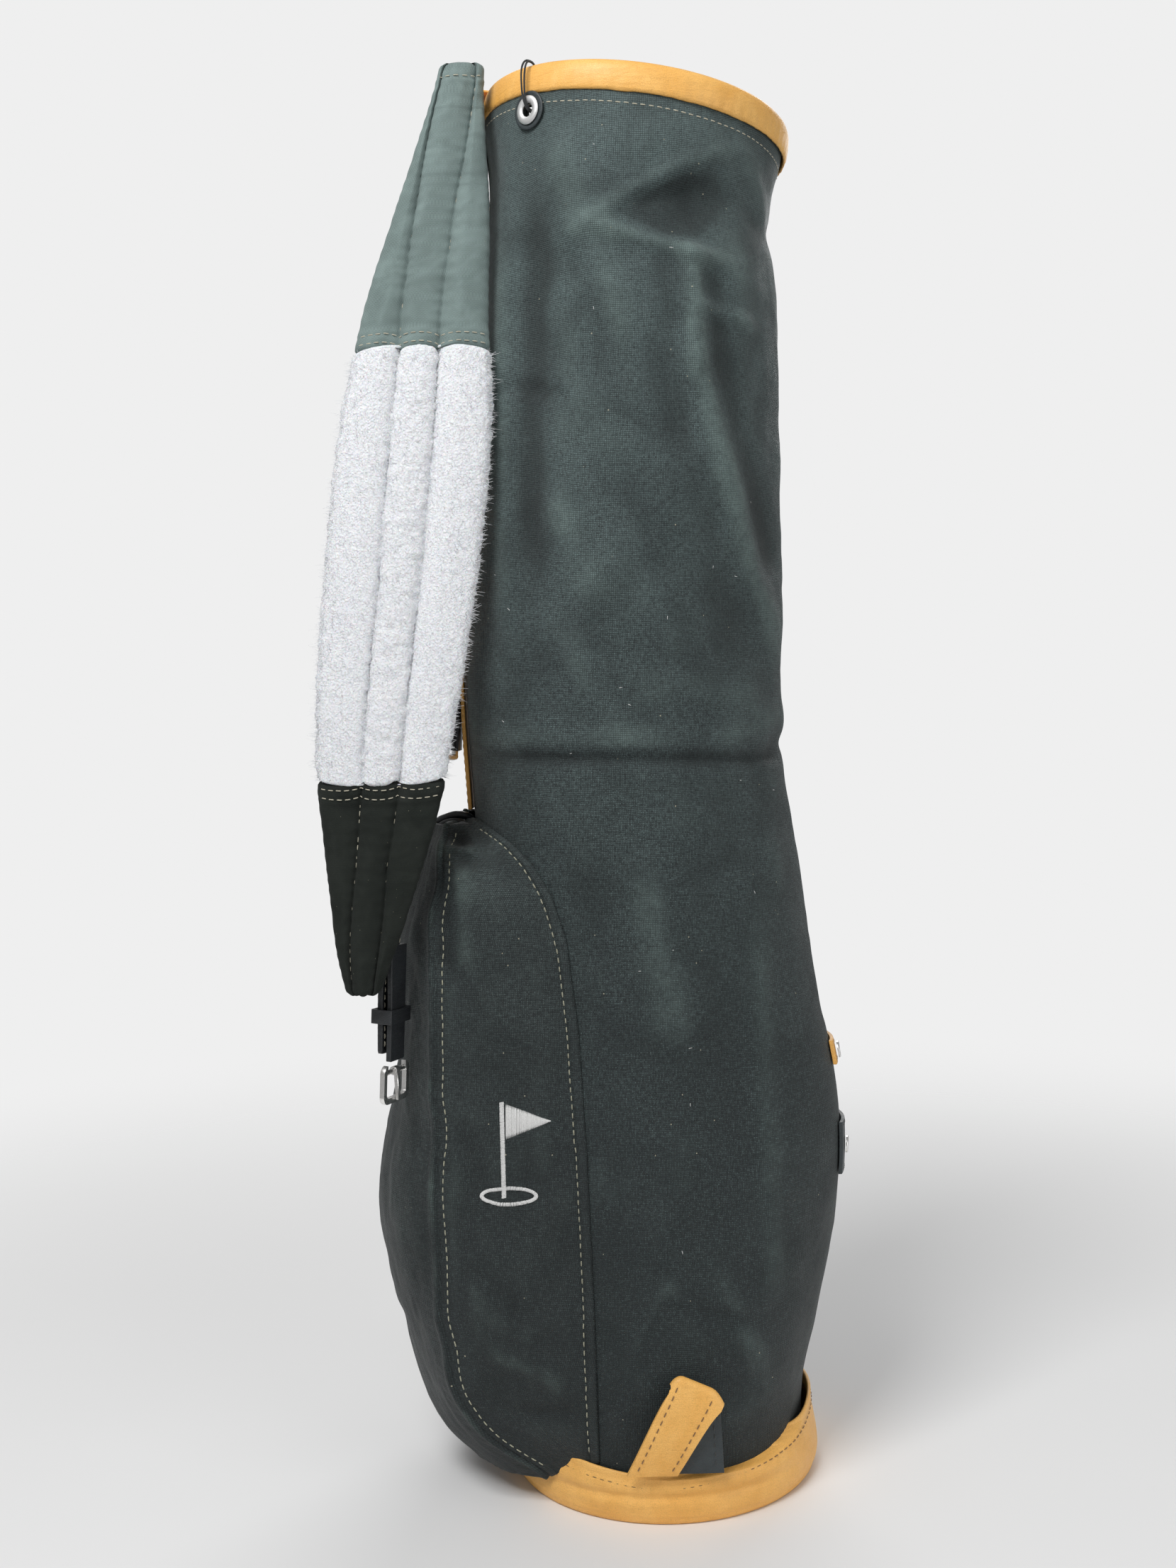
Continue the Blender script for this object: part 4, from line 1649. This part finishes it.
def ring_piece(name, centre, axis, profile, material, stands_for):
    """A turned ring from a closed profile of radius and height along the axis."""
    count = 72
    a = unit(np.cross(axis, (0, 0, 1.0)))
    b = np.cross(axis, a)
    turn = circle(count)[:, None]
    way = a * np.cos(turn)[..., None] + b * np.sin(turn)[..., None]
    profile = np.array(profile)
    points = centre + way * profile[None, :, :1] + axis * profile[None, :, 1:]
    obj = mesh_piece(name, points.reshape(-1, 3), wrapped_faces(count, len(profile)))
    return finish_piece(obj, "bag", material, stands_for)


EYELET_R, EYELET_WALL = 6.5, 2.4
CORD_R = 0.62
CORD_REACH = 6.6             # half width of the cord's loop, through the wall


def build_eyelet():
    """The nickel ring on its disc, and the cord that goes twice through it."""
    middle = middle_of("eyelet_ring")
    axis = unit((middle - (RIM_C - (0, 0, 15))) * (1, 1, 0))
    t = circle(22)
    profile = np.stack([EYELET_R + EYELET_WALL * np.cos(t), 0.1 + 1.15 * np.sin(t)], axis=1)
    profile[:, 1] = np.maximum(profile[:, 1], -0.4)
    ring_piece("eyelet_metal", middle, axis, profile, SATIN_NICKEL, ["eyelet_ring"])
    patch = [(4.6, -0.6), (11.4, -0.6), (12.0, -0.2), (11.6, 0.35), (10.5, 0.5), (9.5, 0.25),
             (4.6, 0.2)]
    ring_piece("eyelet_disc", middle - axis * 0.9, axis, patch, TEAL,
               ["eyelet_patch"])
    centre = middle_of("eyelet_loop")
    low, high = box_of("eyelet_loop")
    rise = (high[2] - low[2]) / 2 - 1.4
    tangent = np.cross(axis, (0, 0, 1.0))
    t = circle(120)
    strands = []
    for k, drift in enumerate((-1.0, 1.0)):
        wide = blunt(np.cos(t), 0.75) * (CORD_REACH + 0.3 * drift)
        tall = blunt(np.sin(t), 0.75) * (rise + 0.5 * drift)
        sway = drift * (0.7 + 0.5 * np.sin(t * 2 + k)) + 0.8 * np.sin(t + 0.6)
        path = centre + axis * wide[:, None] + np.array([0, 0, 1.0]) * tall[:, None] + (
            tangent * sway[:, None])
        forward = unit(np.roll(path, -1, axis=0) - np.roll(path, 1, axis=0))
        side = unit(np.cross(forward, tangent))
        lift = np.cross(side, forward)
        a = circle(10)[:, None]
        ring = side[:, None] * np.cos(a) + lift[:, None] * np.sin(a)
        strands.append((path[:, None] + ring * CORD_R).reshape(-1, 3))
    obj = joined_piece("eyelet_cord", strands, wrapped_faces(120, 10))
    finish_piece(obj, "bag", CORD, ["eyelet_loop"])


def build_keepers():
    """Stitches on the two small straps and their anchors."""
    for side, thread in (("upper", TAN_THREAD), ("lower", DARK_THREAD)):
        for part, body in (("strap", "keeper_" + side), ("anchor", "bag")):
            name = "keeper_" + part + "_" + side
            surface = tree(name)
            low, high = box_of(name)
            rows = []
            for z in (low[2] + 2.4, high[2] - 2.4):
                starts = [(FAR, y, z) for y in np.linspace(low[1] + 2, high[1] - 2, 30)]
                line = hits(surface, starts, (-1, 0, 0))
                rows.append((line, facing(line, 1.0, 0, 0)))
            stitch_piece(name + "_stitches", rows, body, thread, (2.8, 1.4, 0.32))


# two cords of glossy leather over the top of the pocket
PIPING = [[(-147.5, -5, 419.5), (-141.5, -11, 426.3), (-131.5, -14, 430.6), (-124, -14, 430.3),
           (-118.8, -12, 427.6)],
          [(-144.0, -13, 421.0), (-136.0, -18, 426.0), (-127.5, -19, 426.6), (-121.0, -17, 422.6)]]
PIPING_R = (2.6, 2.2)


def build_piping():
    strands = [tube_points(spline(route, 60), radius, 18).reshape(-1, 3)
               for route, radius in zip(PIPING, PIPING_R)]
    obj = joined_piece("pocket_piping_leather", strands, tube_faces(60, 18))
    finish_piece(obj, "bag", BLACK, ["pocket_piping"])


# ---- camera, light and floor ------------------------------------------------------------
CAMERA_AT = (-0.0406, -1.100, 0.4988)
CAMERA_ROLL = 1.36           # degrees; the upright bag leans a little to the left in the view
CAMERA_LENS = 37.7
CAMERA_SHIFT = -0.0479


def place(name, data):
    """A new object in the scene."""
    obj = bpy.data.objects.new(name, data)
    bpy.context.scene.collection.objects.link(obj)
    return obj


def build_camera():
    """The photograph's angle: level, square to the bag's near side, rolled a little."""
    roll = math.radians(CAMERA_ROLL)
    data = bpy.data.cameras.new("camera")
    data.lens, data.sensor_width, data.shift_y = CAMERA_LENS, 36.0, CAMERA_SHIFT
    data.clip_start, data.clip_end = 0.05, 50
    obj = place("camera", data)
    turn = Matrix(((math.cos(roll), math.sin(roll), 0), (0, 0, -1),
                   (-math.sin(roll), math.cos(roll), 0)))
    obj.matrix_world = Matrix.Translation(CAMERA_AT) @ turn.to_4x4()
    bpy.context.scene.camera = obj


def area_light(name, at, aim, size, power):
    data = bpy.data.lights.new(name, "AREA")
    data.shape, data.size, data.size_y = "RECTANGLE", *size
    data.energy = power
    obj = place(name, data)
    obj.location = at
    obj.rotation_euler = (Vector(aim) - Vector(at)).to_track_quat("-Z", "Y").to_euler()


def build_light():
    """A soft key, a fill and a back light, in a pale studio that the camera sees evenly."""
    area_light("key", (-0.62, -1.05, 1.75), (0.0, 0, 0.72), (0.75, 0.75), 23)
    area_light("fill", (1.7, -1.5, 0.6), (0, 0, 0.35), (1.4, 1.6), 13)
    area_light("back", (0.5, 2.2, 1.8), (0, 0, 0.5), (1.8, 1.4), 26)
    world = bpy.data.worlds.new("studio")
    world.use_nodes = True
    bpy.context.scene.world = world
    shading = world.node_tree
    lit = shading.nodes["Background"]
    lit.inputs[0].default_value, lit.inputs[1].default_value = (1, 1, 1, 1), 0.31
    seen = shading.nodes.new("ShaderNodeBackground")
    seen.inputs[0].default_value = (0.863, 0.863, 0.863, 1)
    path = shading.nodes.new("ShaderNodeLightPath")
    pick = shading.nodes.new("ShaderNodeMixShader")
    shading.links.new(path.outputs["Is Camera Ray"], pick.inputs[0])
    shading.links.new(lit.outputs[0], pick.inputs[1])
    shading.links.new(seen.outputs[0], pick.inputs[2])
    shading.links.new(pick.outputs[0], shading.nodes["World Output"].inputs[0])
    bpy.context.scene.view_settings.view_transform = "Standard"


FLOOR_R = 1.5


def build_floor():
    """A pale floor that fades into the background."""
    s = Shader("floor", Roughness=0.9, Specular_IOR_Level=0.1)
    place = s.add("TexCoord").outputs["Object"]
    away = s.add("VectorMath", (0, place), operation="LENGTH").outputs["Value"]
    faded = s.ramp(away, 0.25 * FLOOR_R, 0.95 * FLOOR_R)
    tone = s.noise(place, 0.3, 2.0)
    s.set(Base_Color=s.mix(tone, (0.83, 0.83, 0.83), (0.86, 0.86, 0.86)))
    clear = s.add("BsdfTransparent").outputs[0]
    blend = s.add("MixShader", (0, faded), (1, s.surface.outputs[0]), (2, clear)).outputs[0]
    s.links.new(blend, s.nodes["Material Output"].inputs[0])
    turn = circle(96)
    ring = np.stack([np.cos(turn), np.sin(turn), 0 * turn], axis=1) * FLOOR_R / MM
    floor = mesh_piece("floor", ring - (0, 0, 0.02), [list(range(96))])
    floor.data.materials.append(s.material)


build_body()
build_lint()
build_binding()
build_divider()
build_boot()
build_sole()
build_pocket()
build_pads()
build_handle()
build_spine()
build_adjuster()
build_foot_handle()
build_zip()
build_eyelet()
build_keepers()
build_piping()
dress_nodes()
build_camera()
build_light()
build_floor()
